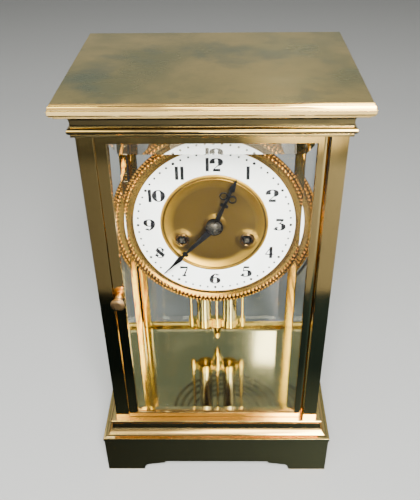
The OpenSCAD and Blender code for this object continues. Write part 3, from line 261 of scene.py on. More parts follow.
# Metals: bright and dull colour and the roughness of each, scale of the patches (higher is finer) with their
# limits and seed, radius of the rounded arrises in mm, stretch, fineness and strength of the polishing lines
metals = {
    "caseBrass": {"bright": (0.92, 0.63, 0.23), "dull": (0.60, 0.40, 0.15), "rough": (0.075, 0.16),
                  "size": 16, "limits": (0.50, 0.78), "seed": 1, "edge": 0.30,
                  "lines": (1, 1, 0.06), "fine": 700, "bump": 0.012},
    "baseBrass": {"bright": (0.92, 0.65, 0.26), "dull": (0.58, 0.43, 0.18), "rough": (0.12, 0.24),
                  "size": 18, "limits": (0.48, 0.76), "seed": 2, "edge": 0.30,
                  "lines": (0.06, 0.06, 1), "fine": 700, "bump": 0.015},
    # painted shade: the base brass darker for the cornice frieze
    "friezeShadedBrass": {"bright": (0.66, 0.48, 0.20), "dull": (0.34, 0.27, 0.12), "rough": (0.07, 0.15),
                    "size": 18, "limits": (0.46, 0.74), "seed": 17, "edge": 0.30,
                    "lines": (0.06, 0.06, 1), "fine": 700, "bump": 0.015},
    "topBrass": {"bright": (0.88, 0.68, 0.27), "dull": (0.40, 0.38, 0.19), "rough": (0.17, 0.28),
                 "size": 11, "limits": (0.42, 0.64), "seed": 3, "edge": 0.35,
                 "lines": (0.10, 1, 1), "fine": 500, "bump": 0.008},
    "floorBrass": {"bright": (0.80, 0.70, 0.36), "dull": (0.64, 0.60, 0.34), "rough": (0.075, 0.11),
                   "size": 24, "limits": (0.46, 0.80), "seed": 4, "edge": 0.20,
                   "lines": (0.10, 1, 1), "fine": 600, "bump": 0.003},
    "movementBrass": {"bright": (0.86, 0.58, 0.21), "dull": (0.52, 0.34, 0.12), "rough": (0.20, 0.34),
                      "size": 40, "limits": (0.50, 0.72), "seed": 5, "edge": 0.12,
                      "lines": (0.15, 1, 1), "fine": 900, "bump": 0.03},
    # painted reflection: the case brass brighter and more saturated for the parts inside the case, for the gold
    # that brass takes on from the brass around it
    "innerSheenBrass": {"bright": (0.95, 0.69, 0.17), "dull": (0.73, 0.50, 0.12), "rough": (0.09, 0.18),
                   "size": 16, "limits": (0.50, 0.78), "seed": 15, "edge": 0.25,
                   "lines": (1, 1, 0.06), "fine": 700, "bump": 0.012},
    "bezelGilt": {"bright": (0.62, 0.345, 0.062), "dull": (0.42, 0.225, 0.04), "rough": (0.13, 0.22),
                  "size": 60, "limits": (0.46, 0.74), "seed": 16, "edge": 0,
                  "lines": (1, 1, 1), "fine": 1200, "bump": 0.02},
    "giltBrass": {"bright": (0.93, 0.60, 0.18), "dull": (0.58, 0.34, 0.10), "rough": (0.13, 0.24),
                  "size": 60, "limits": (0.46, 0.74), "seed": 6, "edge": 0.12,
                  "lines": (1, 1, 1), "fine": 1200, "bump": 0.02},
    "giltCentre": {"bright": (0.90, 0.53, 0.060), "dull": (0.74, 0.43, 0.048), "rough": (0.285, 0.31),
                   "size": 42, "limits": (0.40, 0.72), "seed": 7, "edge": 0,
                   "lines": (1, 1, 1), "fine": 1600, "bump": 0.01, "vary": (1.0, 1.06), "speck": 0.12},
    "pendulumBrass": {"bright": (0.93, 0.74, 0.27), "dull": (0.66, 0.50, 0.17), "rough": (0.10, 0.22),
                      "size": 70, "limits": (0.52, 0.78), "seed": 8, "edge": 0.15,
                      "lines": (1, 1, 1), "fine": 1200, "bump": 0.01},
    "copperKnob": {"bright": (0.66, 0.43, 0.22), "dull": (0.42, 0.27, 0.14), "rough": (0.26, 0.38),
                   "size": 190, "limits": (0.40, 0.66), "seed": 9, "edge": 0.25,
                   "lines": (1, 1, 1), "fine": 2200, "bump": 0.04},
    "brightSteel": {"bright": (0.60, 0.60, 0.60), "dull": (0.36, 0.35, 0.33), "rough": (0.18, 0.32),
                    "size": 70, "limits": (0.50, 0.75), "seed": 10, "edge": 0.12,
                    "lines": (1, 1, 1), "fine": 1500, "bump": 0.02},
    # painted shade: a darker copy of the steel for the winding arbors, for the shade deep in the winding holes
    "arborShadedSteel": {"bright": (0.26, 0.25, 0.24), "dull": (0.12, 0.11, 0.10), "rough": (0.22, 0.36),
                   "size": 90, "limits": (0.46, 0.72), "seed": 14, "edge": 0.12,
                   "lines": (1, 1, 1), "fine": 1500, "bump": 0.02},
    "capSteel": {"bright": (0.13, 0.12, 0.115), "dull": (0.06, 0.055, 0.05), "rough": (0.26, 0.38),
                 "size": 90, "limits": (0.46, 0.72), "seed": 18, "edge": 0.12,
                 "lines": (1, 1, 1), "fine": 1500, "bump": 0.02},
    # painted shade: near-black for the winding collets, for the shade inside the winding holes; the oil sinks take
    # the same tone
    "holeShadeBronze": {"bright": (0.13, 0.075, 0.024), "dull": (0.06, 0.033, 0.011), "rough": (0.26, 0.40),
                     "size": 90, "limits": (0.40, 0.70), "seed": 19, "edge": 0.12,
                     "lines": (1, 1, 1), "fine": 1500, "bump": 0.02},
    "jarSteel": {"bright": (0.66, 0.64, 0.60), "dull": (0.42, 0.39, 0.35), "rough": (0.07, 0.16),
                 "size": 60, "limits": (0.52, 0.80), "seed": 11, "edge": 0.20,
                 "lines": (1, 1, 0.08), "fine": 900, "bump": 0.008},
    "gongSteel": {"bright": (0.12, 0.13, 0.16), "dull": (0.06, 0.05, 0.05), "rough": (0.28, 0.42),
                  "size": 90, "limits": (0.44, 0.70), "seed": 12, "edge": 0,
                  "lines": (1, 1, 1), "fine": 1800, "bump": 0.03},
    "bluedSteel": {"bright": (0.034, 0.032, 0.038), "dull": (0.016, 0.014, 0.014), "rough": (0.20, 0.32),
                   "size": 100, "limits": (0.44, 0.70), "seed": 13, "edge": 0.15,
                   "lines": (1, 1, 1), "fine": 2000, "bump": 0.02},
}
# Common to all metals unless one has its own: range of the roughness along the lines, strength and darkness
# of the specks, strength of the wear, height of the lines in m
metalUsual = {"vary": (0.75, 1.3), "speck": 0.3, "speckTone": 0.5, "wear": 0.8, "height": 0.0002}


def metalFinish(name, values):
    # polished metal: bright colour, tarnish patches with a colour and roughness of their own, polishing lines
    # and worn arrises
    v = {**metalUsual, **values}
    m, t, skin = newMaterial(name)
    skin.inputs["Metallic"].default_value = 1.0
    rough, dullRough = v["rough"]
    least, most = v["vary"]
    patch = patchesOf(t, v)
    grain = useGroup(t, polishGrain, Lines=v["lines"], Fineness=v["fine"])
    tone = mixTone(t, v["bright"], v["dull"], patch.outputs["Mask"])
    dark = tuple(v["speckTone"] * c for c in v["dull"])
    tone = mixTone(t, tone, dark, spread(t, patch.outputs["Speck"], 0.0, v["speck"]))
    streak = spread(t, grain.outputs["Streak"], rough * least, rough * most)
    both = maths(t, "Math", "MULTIPLY_ADD", patch.outputs["Mask"], dullRough - rough, streak)
    link(t, both[0], skin.inputs["Roughness"])
    b = addNode(t, "ShaderNodeBump", Strength=v["bump"], Distance=v["height"])
    link(t, grain.outputs["Height"], b.inputs["Height"])
    if v["edge"]:
        arris = useGroup(t, edgeWear, Radius=v["edge"] * mm)
        tone = mixTone(t, tone, v["bright"], spread(t, arris.outputs["Wear"], 0.0, v["wear"]))
        link(t, arris.outputs["Soft"], b.inputs["Normal"])
    link(t, tone, skin.inputs["Base Color"])
    link(t, b.outputs["Normal"], skin.inputs["Normal"])
    return m


# Dial centre: sizes in mm, each boss as outer radius, inner radius and slope; the groove's tone is a painted shade
centreShape = {"hole": 3.6, "edge": 32.5, "flat": 24.2, "rise": 30.3, "slope": 0.46, "field": 0.35,
               "groove": 0.5, "grooveWide": 0.9, "rimGap": 0.2, "rimRound": 0.15, "rimDrop": 0.3,
               "windBoss": (8.4, 3.4, 0.62), "handBoss": (7.6, 4.4, 0.85), "windHole": 4.2,
               "around": 288, "rings": 66, "grooveRings": 4, "rimRings": 4,
               "grooveShadeTone": (0.06, 0.032, 0.010), "fieldTone": (0.165, 0.104, 0.026), "matted": 0.9}


def grooveFinish(t, v):
    # matted field inside the polished rim, and painted shade in the groove that darkens towards the groove's
    # middle
    skin = nodeOf(t, "BSDF_PRINCIPLED")
    where = addNode(t, "ShaderNodeTexCoord")
    centred = maths(t, "VectorMath", "SUBTRACT", where.outputs["Object"], (0, 0, dialZ))[0]
    level = maths(t, "VectorMath", "MULTIPLY", centred, (1, 0, 1))[0]
    radius = maths(t, "VectorMath", "LENGTH", level)["Value"]
    off = maths(t, "Math", "SUBTRACT", radius, (v["rise"] + v["grooveWide"] / 2) * mm)[0]
    # painted shade in the groove, darkest at its middle
    grooveShade = ramp(t, maths(t, "Math", "ABSOLUTE", off)[0], v["grooveWide"] * mm, 0.0)
    matted = ramp(t, radius, v["rise"] * mm, v["flat"] * mm, To_Max=v["matted"])
    given = skin.inputs["Base Color"].links[0].from_socket
    toned = mixTone(t, given, v["fieldTone"], matted)
    link(t, mixTone(t, toned, v["grooveShadeTone"], grooveShade), skin.inputs["Base Color"])


topLook = {"stain": (0.24, 0.30, 0.22), "most": 0.75, "size": 26, "limits": (0.48, 0.70), "seed": 31,
           "facing": (0.97, 0.995)}


def topFinish(t, v, edge):
    # green-grey stains over the tarnish of the upper face; the mouldings keep the case's colour and polish
    skin = nodeOf(t, "BSDF_PRINCIPLED")
    where = addNode(t, "ShaderNodeTexCoord")
    split = addNode(t, "ShaderNodeSeparateXYZ")
    link(t, where.outputs["Normal"], split.inputs[0])
    up = ramp(t, split.outputs["Z"], *v["facing"])
    given = skin.inputs["Base Color"].links[0].from_socket
    stained = mixTone(t, given, v["stain"], spread(t, patchesOf(t, v).outputs["Mask"], 0.0, v["most"]))
    link(t, mixTone(t, edge["bright"], stained, up), skin.inputs["Base Color"])
    rough = addNode(t, "ShaderNodeMix")
    link(t, up, rough.inputs[0])
    rough.inputs[2].default_value = edge["rough"][0]
    link(t, skin.inputs["Roughness"].links[0].from_socket, rough.inputs[3])
    link(t, rough.outputs[0], skin.inputs["Roughness"])


# Painted shade between the beads: its dark tone and its largest share
beadGapShade = {"dark": (0.05, 0.022, 0.005), "most": 0.97}


def gapFinish(t, v):
    # painted shade: darker the deeper a point lies between the beads, which the mesh carries
    skin = nodeOf(t, "BSDF_PRINCIPLED")
    gap = addNode(t, "ShaderNodeAttribute", attribute_name="gap")
    given = skin.inputs["Base Color"].links[0].from_socket
    toned = mixTone(t, given, v["dark"], spread(t, gap.outputs["Fac"], 0.0, v["most"]))
    link(t, toned, skin.inputs["Base Color"])


enamelLook = {"body": (0.96, 0.955, 0.935), "cloud": (0.91, 0.895, 0.86), "pinhole": (0.55, 0.50, 0.42),
              "pinholeMost": 0.10, "size": 60, "limits": (0.4, 0.7), "seed": 20, "rough": (0.16, 0.26),
              "coat": 0.6, "coatRough": 0.06, "wave": 0.05, "waveHeight": 0.0004}


def enamelFinish(v):
    # fired white enamel: a glossy coat over a faintly clouded body with a few pinholes
    m, t, skin = newMaterial("dialEnamel")
    patch = patchesOf(t, v)
    tone = mixTone(t, v["body"], v["cloud"], patch.outputs["Mask"])
    tone = mixTone(t, tone, v["pinhole"], spread(t, patch.outputs["Speck"], 0.0, v["pinholeMost"]))
    link(t, tone, skin.inputs["Base Color"])
    skin.inputs["Coat Weight"].default_value = v["coat"]
    skin.inputs["Coat Roughness"].default_value = v["coatRough"]
    link(t, spread(t, patch.outputs["Mask"], *v["rough"]), skin.inputs["Roughness"])
    wave = addNode(t, "ShaderNodeBump", Strength=v["wave"], Distance=v["waveHeight"])
    link(t, patch.outputs["Mask"], wave.inputs["Height"])
    link(t, wave.outputs["Normal"], skin.inputs["Normal"])
    return m


inkLook = {"full": (0.0025, 0.0025, 0.003), "thin": (0.007, 0.006, 0.007), "size": 900,
           "limits": (0.45, 0.7), "seed": 21, "rough": (0.2, 0.34)}


def inkFinish(v):
    # fired black numerals, slightly thin in places
    m, t, skin = newMaterial("numeralInk")
    thin = patchesOf(t, v).outputs["Mask"]
    link(t, mixTone(t, v["full"], v["thin"], thin), skin.inputs["Base Color"])
    link(t, spread(t, thin, *v["rough"]), skin.inputs["Roughness"])
    return m


glassLook = {"clean": (0.985, 1.0, 0.992), "dusty": (0.965, 0.985, 0.975), "through": (0.95, 0.97, 0.96),
             "bend": 1.5, "size": 30, "limits": (0.5, 0.8), "seed": 22, "rough": (0.0, 0.012)}


def glassFinish(v):
    # clear plate glass with thin dust; light passes straight through it on the way to what is inside
    m, t, skin = newMaterial("plateGlass")
    skin.inputs["Transmission Weight"].default_value = 1.0
    skin.inputs["IOR"].default_value = v["bend"]
    dust = patchesOf(t, v).outputs["Mask"]
    link(t, mixTone(t, v["clean"], v["dusty"], dust), skin.inputs["Base Color"])
    link(t, spread(t, dust, *v["rough"]), skin.inputs["Roughness"])
    path = addNode(t, "ShaderNodeLightPath")
    clear = addNode(t, "ShaderNodeBsdfTransparent", Color=(*v["through"], 1))
    soft = maths(t, "Math", "MAXIMUM", path.outputs["Is Shadow Ray"], path.outputs["Is Diffuse Ray"])[0]
    mixSurface(t, soft, skin, clear)
    return m


finishes = {name: metalFinish(name, values) for name, values in metals.items()}
gapFinish(finishes["bezelGilt"].node_tree, beadGapShade)
grooveFinish(finishes["giltCentre"].node_tree, centreShape)
topFinish(finishes["topBrass"].node_tree, topLook, metals["caseBrass"])
finishes["dialEnamel"] = enamelFinish(enamelLook)
finishes["numeralInk"] = inkFinish(inkLook)
finishes["plateGlass"] = glassFinish(glassLook)

# Finish of each material slot, and of the nodes that have one of their own
finishOfSlot = {"case_brass": "caseBrass", "floor_brass": "floorBrass", "top_brass": "topBrass",
                "plate_glass": "plateGlass", "bright_steel": "brightSteel", "copper_knob": "copperKnob",
                "movement_brass": "movementBrass", "gilt_brass": "giltBrass", "dial_enamel": "dialEnamel",
                "blued_steel": "bluedSteel", "gong_steel": "gongSteel", "pendulum_brass": "pendulumBrass",
                "jar_steel": "jarSteel"}
finishOfNode = {"base_plinth": "baseBrass", "cornice_frieze": "friezeShadedBrass", "dial_centre": "giltCentre",
                "hand_cap": "capSteel", "winding_collets": "holeShadeBronze", "side_frames": "innerSheenBrass",
                "back_door_frame": "innerSheenBrass", "post_back_left": "innerSheenBrass",
                "post_back_right": "innerSheenBrass", "going_winding_arbor": "arborShadedSteel",
                "strike_winding_arbor": "arborShadedSteel"}


def dressNodes():
    for part in frame["record"]["subparts"]:
        obj = nodes[part["node"]]
        finish = finishOfNode.get(part["node"], finishOfSlot[part["material_slot"]])
        obj.data.materials.clear()
        obj.data.materials.append(finishes[finish])


dressNodes()
print("stage: materials")

# Surfaces from grids


def turnOf(n):
    # n equal angles of a full turn
    return np.arange(n) * 2 * np.pi / n


def gridFaces(nu, nv, wrapU, wrapV):
    # index quads of a grid: row-major points, wrapped where the surface closes on itself
    u = np.arange(nu if wrapU else nu - 1)
    v = np.arange(nv if wrapV else nv - 1)
    a, b = np.meshgrid(u, v, indexing="ij")
    a2, b2 = (a + 1) % nu, (b + 1) % nv
    return np.stack([a * nv + b, a2 * nv + b, a2 * nv + b2, a * nv + b2], -1).reshape(-1, 4)


def cappedFaces(n, around):
    # quads of a tube of n rings, and a fan to a pole at each end; the two poles follow the rings
    k = np.arange(around)
    nextK = (k + 1) % around
    first = np.stack([np.full(around, n * around), k, nextK], -1)
    last = np.stack([np.full(around, n * around + 1), (n - 1) * around + nextK, (n - 1) * around + k], -1)
    return gridFaces(n, around, False, True), np.concatenate([first, last])


def makePiece(name, points, faces, finish, body, smooth=True):
    # a mesh of points in m and faces that rides on a body; smooth is one flag, or one for each face
    mesh = bpy.data.meshes.new(name)
    faces = faces if isinstance(faces, list) else np.asarray(faces).tolist()
    mesh.from_pydata(np.asarray(points, float).reshape(-1, 3).tolist(), [], faces)
    mesh.polygons.foreach_set("use_smooth", np.broadcast_to(smooth, len(mesh.polygons)).copy())
    mesh.materials.append(finishes[finish])
    mesh.update()
    obj = bpy.data.objects.new(name, mesh)
    bpy.context.scene.collection.objects.link(obj)
    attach(obj, body)
    return obj


# Bezel: a row of fine beads, a row of larger beads and a plain hollow, turned about the dial's axis. Sizes in
# mm; lip and foot are corners as (radius from the inner or the outer edge, depth from the back)
bezelShape = {"around": 1920, "across": 9, "fineBeads": 160, "largeBeads": 128, "outer": 56.8,
              "inner": 48.6, "fineRow": 1.9, "largeRow": 2.4, "fineRise": 1.0, "largeRise": 1.15,
              "fineCrown": 1.0, "largeCrown": 0.75, "edgeDepth": 2.1, "rowDepth": 2.8, "step": 0.7,
              "hollow": 0.9, "hollowEnd": 0.5, "beadPower": 0.6, "shadePower": 0.5,
              "lip": ((0.15, -1.88), (0, -1.8), (0, -1.56), (0.9, -1.56), (1.0, 0)),
              "foot": ((-1.6, 0), (-0.6, -0.6), (-0.2, -1.5))}


def beadDome(theta, count):
    # half circles along the turn: none where two beads meet, one at the top of each bead
    p = (count * theta / (2 * np.pi)) % 1
    return np.sqrt(np.clip(1 - (2 * p - 1) ** 2, 0, 1))


def makeBezel(v):
    # P(theta, s): the profile (r, depth) turned about Y; in the two bead rows the depth falls away between
    # the beads
    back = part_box("bezel")[1].y / mm
    out, inn = v["outer"], v["inner"]
    large0 = out - v["fineRow"]
    flat0 = large0 - v["largeRow"]
    t = np.linspace(0, 1, v["across"])
    across = np.sin(np.pi * t)
    dip = v["hollow"] * np.sin(np.pi * t / 2)
    fine = np.stack([out - v["fineRow"] * t, -v["edgeDepth"] - v["fineCrown"] * across - v["step"] * t], -1)
    large = np.stack([large0 - v["largeRow"] * t, -v["rowDepth"] - v["largeCrown"] * across], -1)
    hollow = np.stack([flat0 - (flat0 - inn - v["hollowEnd"]) * t, -v["rowDepth"] + dip], -1)
    lip = np.array(v["lip"]) + [inn, 0]
    foot = np.array(v["foot"]) + [out, 0]
    profile = np.concatenate([fine[:-1], large[:-1], hollow, lip, foot])
    theta = turnOf(v["around"])
    row = v["across"] - 1
    fineDome = beadDome(theta, v["fineBeads"])[:, None]
    largeDome = beadDome(theta, v["largeBeads"])[:, None]
    swell = across[None, :row] ** v["beadPower"]
    fall = np.zeros((v["around"], len(profile)))
    fall[:, :row] = (1 - fineDome) * v["fineRise"] * swell
    fall[:, row:2 * row] = (1 - largeDome) * v["largeRise"] * swell
    depth = profile[None, :, 1] + fall
    radius = np.broadcast_to(profile[None, :, 0], depth.shape)
    x = radius * np.sin(theta)[:, None]
    z = dialZ / mm + radius * np.cos(theta)[:, None]
    pts = np.stack([x, back + depth, z], -1) * mm
    faces = gridFaces(v["around"], len(profile), True, True)[:, ::-1]
    obj = makePiece("beadedBezel", pts, faces, "bezelGilt", "case")
    # painted shade between the beads, carried by the mesh as its gap attribute
    deep = np.zeros_like(fall)
    deep[:, :row] = 1 - fineDome * np.cos(np.pi * t[None, :row] / 2) ** v["shadePower"]
    deep[:, row:2 * row] = 1 - largeDome * across[None, :row] ** v["shadePower"]
    obj.data.attributes.new("gap", "FLOAT", "POINT").data.foreach_set("value", deep.ravel())
    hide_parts("bezel")


makeBezel(bezelShape)
print("stage: bezel")

# Dial centre: a dished gilt plate with a groove inside its rim, and a low boss round the hands and round each
# winding hole


def hollowRise(r, start, end, slope):
    # slope (r - start)^2 / (2 (end - start)) between the two radii, level beyond them
    s = np.clip((r - start) / (end - start), 0, 1)
    return slope * abs(end - start) / 2 * s ** 2


def makeCentre(v):
    # P(r, theta) over the disc, raised by the hollow and the bosses; faces over the winding holes are left
    # out and the edges there drawn to a circle; the same outline closes the flat back
    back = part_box("dial_centre")[1].y / mm
    low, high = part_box("winding_collets")
    windX = (high.x - (high.z - low.z) / 2) / mm
    windZ = ((low.z + high.z) / 2 - dialZ) / mm
    inside = np.linspace(v["hole"], v["rise"], v["rings"])
    groove = v["rise"] + v["grooveWide"] * (np.arange(1, v["grooveRings"] + 1) / v["grooveRings"])
    rimStart = v["rise"] + v["grooveWide"] + v["rimGap"]
    rim = np.linspace(rimStart, v["edge"] - v["rimRound"], v["rimRings"])
    r = np.concatenate([inside, groove, rim, [v["edge"]]])
    inGroove = np.clip(1 - np.abs(2 * (r - v["rise"]) / v["grooveWide"] - 1), 0, 1)
    dish = hollowRise(r, v["flat"], v["rise"], v["slope"])
    height = v["field"] + dish + hollowRise(r, *v["handBoss"]) - v["groove"] * inGroove
    height[-1] -= v["rimDrop"]
    theta = turnOf(v["around"])
    x = (r[:, None] * np.sin(theta)).ravel()
    z = (r[:, None] * np.cos(theta)).ravel()
    rise = np.repeat(height, v["around"])
    faces = gridFaces(len(r), v["around"], False, True)[:, ::-1]
    for side in (windX, -windX):
        away = np.hypot(x - side, z - windZ)
        rise = rise + hollowRise(away, *v["windBoss"])
        cut = (away < v["windHole"])[faces].any(axis=1)
        rimmed = np.intersect1d(faces[cut], faces[~cut])
        pull = v["windHole"] / away[rimmed]
        x[rimmed] = side + (x[rimmed] - side) * pull
        z[rimmed] = windZ + (z[rimmed] - windZ) * pull
        faces = faces[~cut]
    count = len(x)
    edges = np.stack([faces, np.roll(faces, -1, axis=1)], -1).reshape(-1, 2)
    single = ~np.isin(edges[:, 0] * count + edges[:, 1], edges[:, 1] * count + edges[:, 0])
    a, b = edges[single].T
    walls = np.stack([b, a, a + count, b + count], -1)
    z = z + dialZ / mm
    pts = np.concatenate([np.stack([x, back - rise, z], -1), np.stack([x, np.full(count, back), z], -1)])
    shell = np.concatenate([faces, faces[:, ::-1] + count, walls])
    smooth = np.arange(len(shell)) < len(faces)
    used, order = np.unique(shell, return_inverse=True)
    pts, shell = pts[used] * mm, order.reshape(-1, 4)
    obj = makePiece("dishedCentre", pts, shell, "giltCentre", "case", smooth)
    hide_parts("dial_centre")


makeCentre(centreShape)
print("stage: dial centre")

# Numerals: each stroke is a path with its own half-width, so that uprights are thick and bows swell at their
# sides. Lengths are shares of the numeral's height, x to the right and z up from its middle


def arcPath(cx, cz, rx, rz, a0, a1, thin, thick, n=22, swell=2.2):
    # an ellipse from one angle to another, thin at top and bottom and thick at its sides
    a = np.radians(np.linspace(a0, a1, n))
    half = thin + (thick - thin) * np.abs(np.cos(a)) ** swell
    return np.stack([cx + rx * np.cos(a), cz + rz * np.sin(a)], -1), half


def linePath(x0, z0, x1, z1, w0, w1, n=4):
    # a straight stroke whose half-width goes evenly from w0 to w1
    s = np.linspace(0, 1, n)
    return np.stack([x0 + (x1 - x0) * s, z0 + (z1 - z0) * s], -1), w0 + (w1 - w0) * s


def ballPath(x, z, r, n=11, cut=0.15):
    # a disc as an upright stroke with the half-width of a circle, cut short at both poles
    a = np.linspace(cut, np.pi - cut, n)
    return np.stack([np.full(n, x), z + r * np.cos(a)], -1), r * np.sin(a)


stemShape = {"reach": 0.47, "half": 0.066, "slab": 0.12, "slabAt": 0.455, "slabHalf": 0.04}


def stemPath(x, v=stemShape):
    # an upright with a short slab at each end
    half, slabHalf = v["half"], v["slabHalf"]
    strokes = [linePath(x, -v["reach"], x, v["reach"], half, half)]
    for z in (-v["slabAt"], v["slabAt"]):
        strokes.append(linePath(x - v["slab"], z, x + v["slab"], z, slabHalf, slabHalf))
    return strokes


glyphs = {
    "0": [arcPath(0, 0, 0.32, 0.46, 0, 360, 0.018, 0.10, 36)],
    "1": stemPath(0),
    "2": [arcPath(0, 0.19, 0.29, 0.27, 200, -60, 0.018, 0.11, 28),
          linePath(0.16, -0.04, -0.22, -0.38, 0.02, 0.014),
          linePath(-0.25, -0.43, 0.29, -0.43, 0.055, 0.06), ballPath(-0.24, 0.15, 0.075)],
    "3": [linePath(-0.29, 0.425, 0.29, 0.425, 0.058, 0.05), linePath(0.28, 0.40, -0.02, 0.11, 0.02, 0.018),
          arcPath(-0.03, -0.18, 0.32, 0.29, 100, -160, 0.018, 0.10, 28), ballPath(-0.23, -0.25, 0.07)],
    "4": [*stemPath(0.1), linePath(0.08, 0.46, -0.33, -0.17, 0.02, 0.018),
          linePath(-0.34, -0.18, 0.32, -0.18, 0.022, 0.022)],
    "5": [linePath(-0.2, 0.425, 0.27, 0.425, 0.058, 0.045), linePath(-0.2, 0.41, -0.22, 0.05, 0.018, 0.018),
          arcPath(-0.02, -0.17, 0.32, 0.30, 128, -160, 0.018, 0.10, 28), ballPath(-0.23, -0.25, 0.07)],
    "6": [arcPath(0.0, -0.19, 0.29, 0.28, 0, 360, 0.018, 0.088, 32),
          arcPath(0.12, -0.15, 0.41, 0.61, 88, 182, 0.018, 0.095), ballPath(0.19, 0.37, 0.078)],
    "7": [linePath(-0.32, 0.42, 0.32, 0.42, 0.062, 0.045), linePath(0.3, 0.40, 0.03, -0.28, 0.018, 0.04),
          ballPath(0.01, -0.37, 0.098)],
    "8": [arcPath(0, 0.23, 0.25, 0.23, 0, 360, 0.018, 0.03, 28),
          arcPath(0, -0.22, 0.29, 0.25, 0, 360, 0.018, 0.03, 30),
          linePath(-0.25, 0.29, 0.28, -0.29, 0.082, 0.088), ballPath(0.22, 0.26, 0.08),
          ballPath(-0.26, -0.25, 0.088)],
}
glyphs["9"] = [(-p, w) for p, w in glyphs["6"]]
# Radius, height, proud, layer and sink in mm; widths and gap in shares of the height
numeralShape = {"radius": 39.2, "height": 7.8, "stem": 0.26, "wide": 0.78, "gap": 0.14, "weight": 1.9,
                "proud": 0.05, "layer": 0.008, "sink": 0.1}


def strokeGrid(path, half, x, z, size, front, back):
    # a flat ribbon along a path: four corners at each point, half a width to each side of it
    closed = np.allclose(path[0], path[-1])
    if closed:
        path, half = path[:-1], half[:-1]
        d = np.roll(path, -1, axis=0) - np.roll(path, 1, axis=0)
    else:
        d = np.gradient(path, axis=0)
    d /= np.linalg.norm(d, axis=1)[:, None]
    side = np.stack([-d[:, 1], d[:, 0]], -1) * half[:, None]
    edgeA, edgeB = path + side, path - side
    ring = []
    for e, y in ((edgeA, front), (edgeB, front), (edgeB, back), (edgeA, back)):
        ring.append(np.stack([x + e[:, 0] * size, np.full(len(e), y), dialZ / mm + z + e[:, 1] * size], -1))
    return np.stack(ring, 1), closed


def makeNumerals(v):
    # upright digits side by side about their place on the circle; strokes that cross lie at their own heights
    points, faces, count = [], [], 0
    back = faceY / mm + v["sink"]
    for hour in range(1, 13):
        angle = math.radians(30 * hour)
        x, z = v["radius"] * math.sin(angle), v["radius"] * math.cos(angle)
        text = str(hour)
        wide = [v["stem"] if digit == "1" else v["wide"] for digit in text]
        span = sum(wide) + v["gap"] * (len(text) - 1)
        for k, digit in enumerate(text):
            shift = (sum(wide[:k]) + v["gap"] * k + wide[k] / 2 - span / 2) * v["height"]
            for layer, (path, half) in enumerate(glyphs[digit]):
                front = faceY / mm - v["proud"] - v["layer"] * layer
                g, closed = strokeGrid(path, half * v["weight"], x + shift, z, v["height"], front, back)
                n = len(g)
                f = gridFaces(n, 4, closed, True)
                if not closed:
                    f = np.concatenate([f, [[0, 1, 2, 3], [4 * n - 1, 4 * n - 2, 4 * n - 3, 4 * n - 4]]])
                points.append(g.reshape(-1, 3))
                faces.append(f[:, ::-1] + count)
                count += 4 * n
    pts = np.concatenate(points) * mm
    makePiece("hourNumerals", pts, np.concatenate(faces), "numeralInk", "case", smooth=False)


makeNumerals(numeralShape)

# Low domes: radii of the rings in shares of the size; heights of the second ring and of the pole in shares
# of the rise
domeShape = {"radii": (1.0, 1.0, 0.6), "shoulder": 0.5, "pole": 1.2}


def makeDomes(placeX, placeZ, size, base, rise, sink, around, v=domeShape):
    # a closed dome at each place: three rings about it and a pole at each end, rising along y from the base
    turn = turnOf(around)
    ringY = np.array([-sink, v["shoulder"] * rise, rise])
    r = size[:, None, None] * np.array(v["radii"])[None, :, None]
    x = placeX[:, None, None] + r * np.cos(turn)
    z = placeZ[:, None, None] + r * np.sin(turn)
    y = np.broadcast_to(ringY[None, :, None], x.shape)
    rings = np.stack([x, y, z], -1).reshape(len(size), -1, 3)
    depths = (-sink, v["pole"] * rise)
    ends = [np.stack([placeX, np.full(len(size), depth), placeZ], -1) for depth in depths]
    pts = np.concatenate([rings, np.stack(ends, 1)], 1) + np.array([0, base, 0])
    step = (np.arange(len(size)) * pts.shape[1])[:, None, None]
    quads, fans = cappedFaces(len(ringY), around)
    if rise < 0:
        quads, fans = quads[:, ::-1], fans[:, ::-1]
    return pts * mm, (quads + step).reshape(-1, 4).tolist() + (fans + step).reshape(-1, 3).tolist()


minuteShape = {"radius": 45.9, "small": 0.66, "large": 0.90, "proud": 0.06, "sink": 0.1, "around": 10}


def makeMinuteDots(v):
    # one dome per minute, larger at each fifth
    m = np.arange(60)
    a = np.radians(6 * m)
    size = np.where(m % 5 == 0, v["large"], v["small"])
    x, z = v["radius"] * np.sin(a), dialZ / mm + v["radius"] * np.cos(a)
    pts, faces = makeDomes(x, z, size, faceY / mm, -v["proud"], -v["sink"], v["around"])
    makePiece("minuteDots", pts, faces, "numeralInk", "case")


makeMinuteDots(minuteShape)
print("stage: dial")

# Pivots that show in the back plate, each in its oil sink: radius of the pivot, inner and outer radius of the
# sink in mm, by the joint that each pivot turns with
pivotShape = {"minute_turn": (0.54, 0.9, 2.3), "second_wheel_turn": (0.54, 0.9, 2.1),
              "third_wheel_turn": (0.54, 0.9, 1.9), "escape_wheel_turn": (0.54, 0.9, 1.7),
              "strike_pin_wheel_turn": (0.54, 0.9, 2.1), "strike_second_wheel_turn": (0.54, 0.9, 2.1),
              "strike_warning_wheel_turn": (0.54, 0.9, 1.7), "strike_fly_turn": (0.54, 0.9, 1.6),
              "going_winding": (1.0, 1.7, 3.4), "strike_winding": (1.0, 1.7, 3.4)}
pivotRise = {"pivot": 0.22, "sink": 0.08, "buried": 0.3, "around": 24}


def makeRings(placeX, placeZ, inner, outer, base, rise, sink, around):
    # a flat closed ring about each place: four corners of its section turned about y
    turn = turnOf(around)
    r = np.stack([inner, outer, outer, inner], -1)[:, :, None]
    x = placeX[:, None, None] + r * np.cos(turn)
    z = placeZ[:, None, None] + r * np.sin(turn)
    y = np.broadcast_to(np.array([-sink, -sink, rise, rise])[None, :, None] + base, x.shape)
    step = (np.arange(len(inner)) * 4 * around)[:, None, None]
    return np.stack([x, y, z], -1) * mm, (gridFaces(4, around, True, True) + step).reshape(-1, 4)


